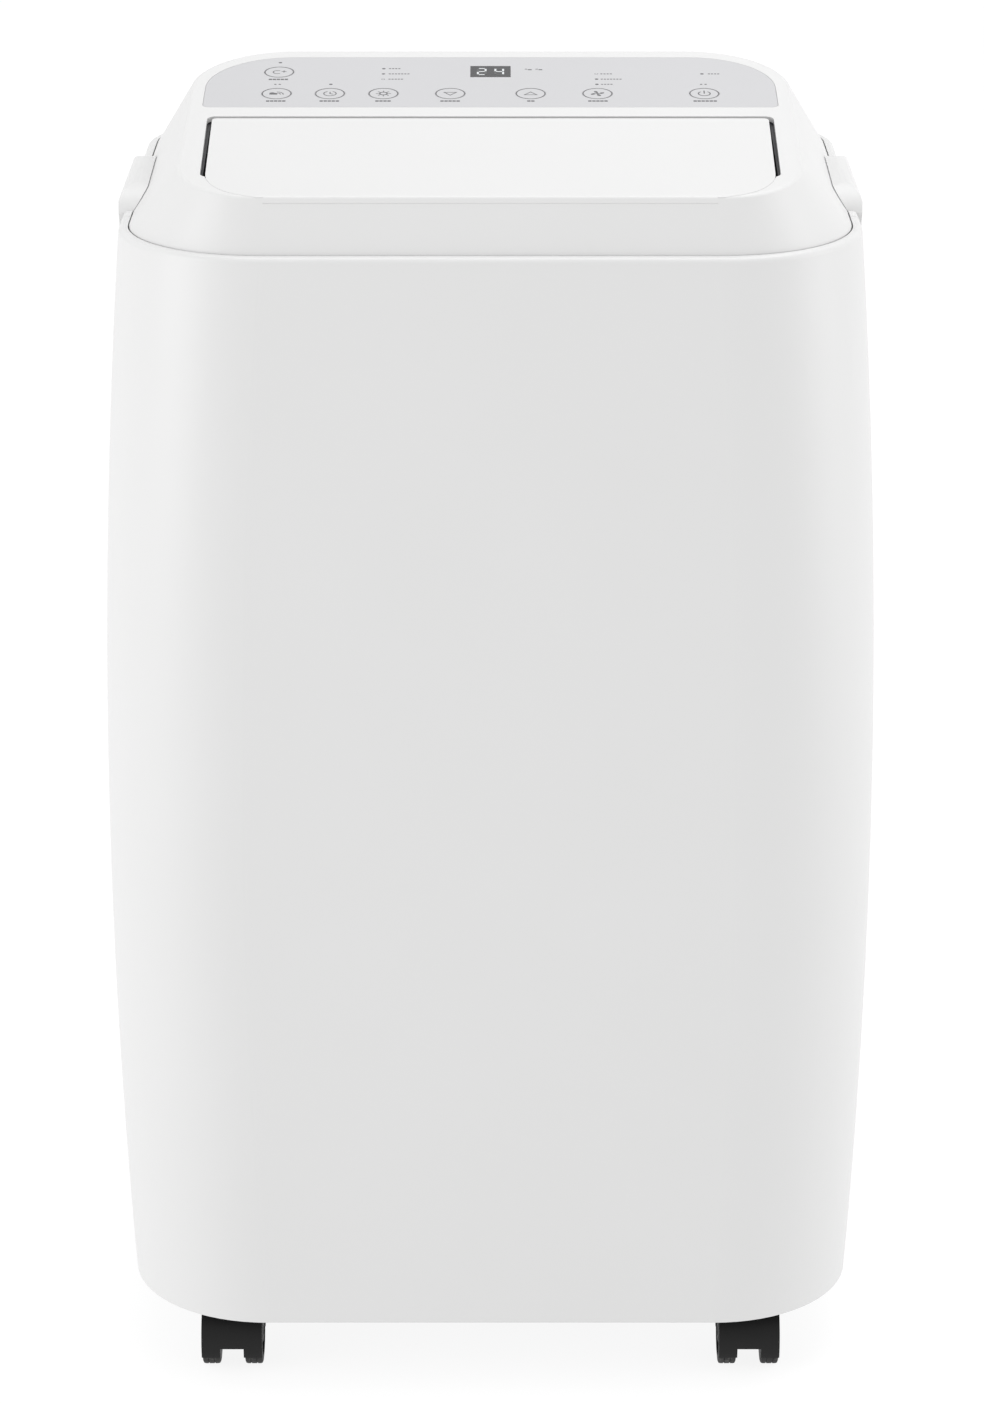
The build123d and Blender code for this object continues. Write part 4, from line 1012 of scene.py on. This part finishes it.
@dataclass
class Caster:
    """One twin-wheel caster: turned wheels in place of the plain ones.

    Attributes:
        place: Which corner it stands at.
        radius: Radius of the wheels.
        width: Width of one wheel.
        gap: Between the two wheels.
        tyre: Thickness of the tread.
    """

    place: str
    radius: float = 20 * MM
    width: float = 11 * MM
    gap: float = 15 * MM
    tyre: float = 2.6 * MM

    def build(self) -> None:
        """Turn the wheels and the treads."""
        low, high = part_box(f"caster_wheels_{self.place}")
        axle = Vector(((low.x + high.x) / 2, (low.y + high.y) / 2, (low.z + high.z) / 2))
        body = f"wheels_{self.place}"
        core = Moulding(f"wheel_cores_{self.place}", body, NYLON, Matrix.Translation(axle))
        tread = Moulding(f"wheel_treads_{self.place}", body, TREAD, Matrix.Translation(axle))
        for side in (-1, 1):
            outward = Matrix.Rotation(math.radians(90 * side), 4, "Y")
            inner = (side * self.gap / 2, 0, 0)
            self._core(core, inner, outward)
            self._tread(tread, inner, outward)
        core.disc(3 * MM, self.gap + 2 * MM, (0, 0, 0), 24, turn=Matrix.Rotation(math.radians(90), 4, "Y"))
        core.done(True, f"caster_wheels_{self.place}")
        tread.done()

    def _core(self, core: Moulding, inner: Point, outward: Matrix) -> None:
        """Turn one wheel's core, with a dished face, a hub cap and ribs.

        Args:
            core: The cores so far.
            inner: Middle of the wheel's inner face.
            outward: Turn of the axis away from the fork.
        """
        rim = self.radius - self.tyre
        face = self.width
        core.lathe([(0, 0), (rim - 1 * MM, 0), (rim, 1 * MM), (rim, face - 0.6 * MM),
                    (rim - 0.6 * MM, face), (rim - 2.2 * MM, face), (rim - 3 * MM, face - 2.2 * MM),
                    (7.6 * MM, face - 2.6 * MM), (6.8 * MM, face - 0.4 * MM), (4.6 * MM, face),
                    (3.4 * MM, face), (3 * MM, face - 0.9 * MM), (0, face - 0.7 * MM)],
                   inner, 64, turn=outward)
        for rib in range(8):
            angle = math.radians(45 * rib)
            spin = Matrix.Rotation(angle, 4, "Z")
            reach = rim - 3 * MM - 7 * MM
            offset = outward @ spin @ Vector((7 * MM + reach / 2, 0, face - 2.1 * MM))
            spoke = bmesh.new()
            size = Matrix.Diagonal((reach + 1 * MM, 1.3 * MM, 2.2 * MM, 1))
            bmesh.ops.create_cube(spoke, size=1, matrix=size)
            core.join(spoke, Matrix.Translation(Vector(inner) + offset) @ outward @ spin)

    def _tread(self, tread: Moulding, inner: Point, outward: Matrix) -> None:
        """Turn one wheel's tread, with rounded shoulders and two grooves.

        Args:
            tread: The treads so far.
            inner: Middle of the wheel's inner face.
            outward: Turn of the axis away from the fork.
        """
        out, low = self.radius, self.radius - self.tyre - 0.2 * MM
        face = self.width
        groove = 0.45 * MM
        profile = [(low, 0.25 * MM), (out - 1.2 * MM, 0.2 * MM), (out - 0.35 * MM, 0.6 * MM),
                   (out, 1.5 * MM)]
        for middle in (face / 3, 2 * face / 3):
            profile += [(out, middle - groove), (out - groove, middle - groove / 3),
                        (out - groove, middle + groove / 3), (out, middle + groove)]
        profile += [(out, face - 1.5 * MM), (out - 0.35 * MM, face - 0.6 * MM),
                    (out - 1.2 * MM, face - 0.2 * MM), (low, face - 0.25 * MM)]
        tread.lathe(profile, inner, 64, turn=outward)


# ---------------------------------------------------------------- inside


@dataclass
class CompressorDress:
    """Weld beads and terminal cover of the compressor.

    Attributes:
        centre: Middle of the can, as x and y.
        radius: Radius of the can.
        bead: Half the height of a weld bead.
        beads: Heights of the beads.
    """

    centre: Place = (132 * MM, -45 * MM)
    radius: float = 56 * MM
    bead: float = 1.8 * MM
    beads: tuple[float, float] = (96 * MM, 262 * MM)

    def build(self) -> None:
        """Lay the weld beads and fit the terminal cover."""
        place = Matrix.Translation((*self.centre, 0))
        beads = Moulding("compressor_welds", "cabinet", CAN, place)
        out = self.radius - 0.3 * MM
        for height in self.beads:
            beads.lathe([(out, height - self.bead), (out + 1.3 * MM, height - self.bead / 2),
                         (out + 1.3 * MM, height + self.bead / 2), (out, height + self.bead)], (0, 0, 0), 72)
        beads.done()
        cover = Moulding("terminal_cover", "cabinet", DUCT, place)
        cover.soft_bar((46 * MM, 16 * MM, 52 * MM), (0, -self.radius - 3 * MM, 205 * MM), 3 * MM)
        cover.soft_bar((22 * MM, 5 * MM, 8 * MM), (0, -self.radius - 12.5 * MM, 205 * MM), 1.2 * MM)
        cover.done()


# ---------------------------------------------------------------- making


def main() -> None:
    """Build the studio and every sub-assembly in order."""
    logging.basicConfig(level=logging.INFO, format="%(name)s: %(message)s")
    dress_frame()
    Studio().build()
    ControlPanel().build()
    LouvreOutlet().build()
    for grille in ("upper_filter_grille", "lower_filter_grille"):
        FilterNet(grille).build()
    for coil in ("evaporator", "condenser"):
        FinPack(coil).build()
    HoseOutlet().build()
    RatingPlate().build()
    for place in ("front_left", "front_right", "rear_left", "rear_right"):
        Caster(place).build()
    CompressorDress().build()


if __name__ == "__main__":
    main()
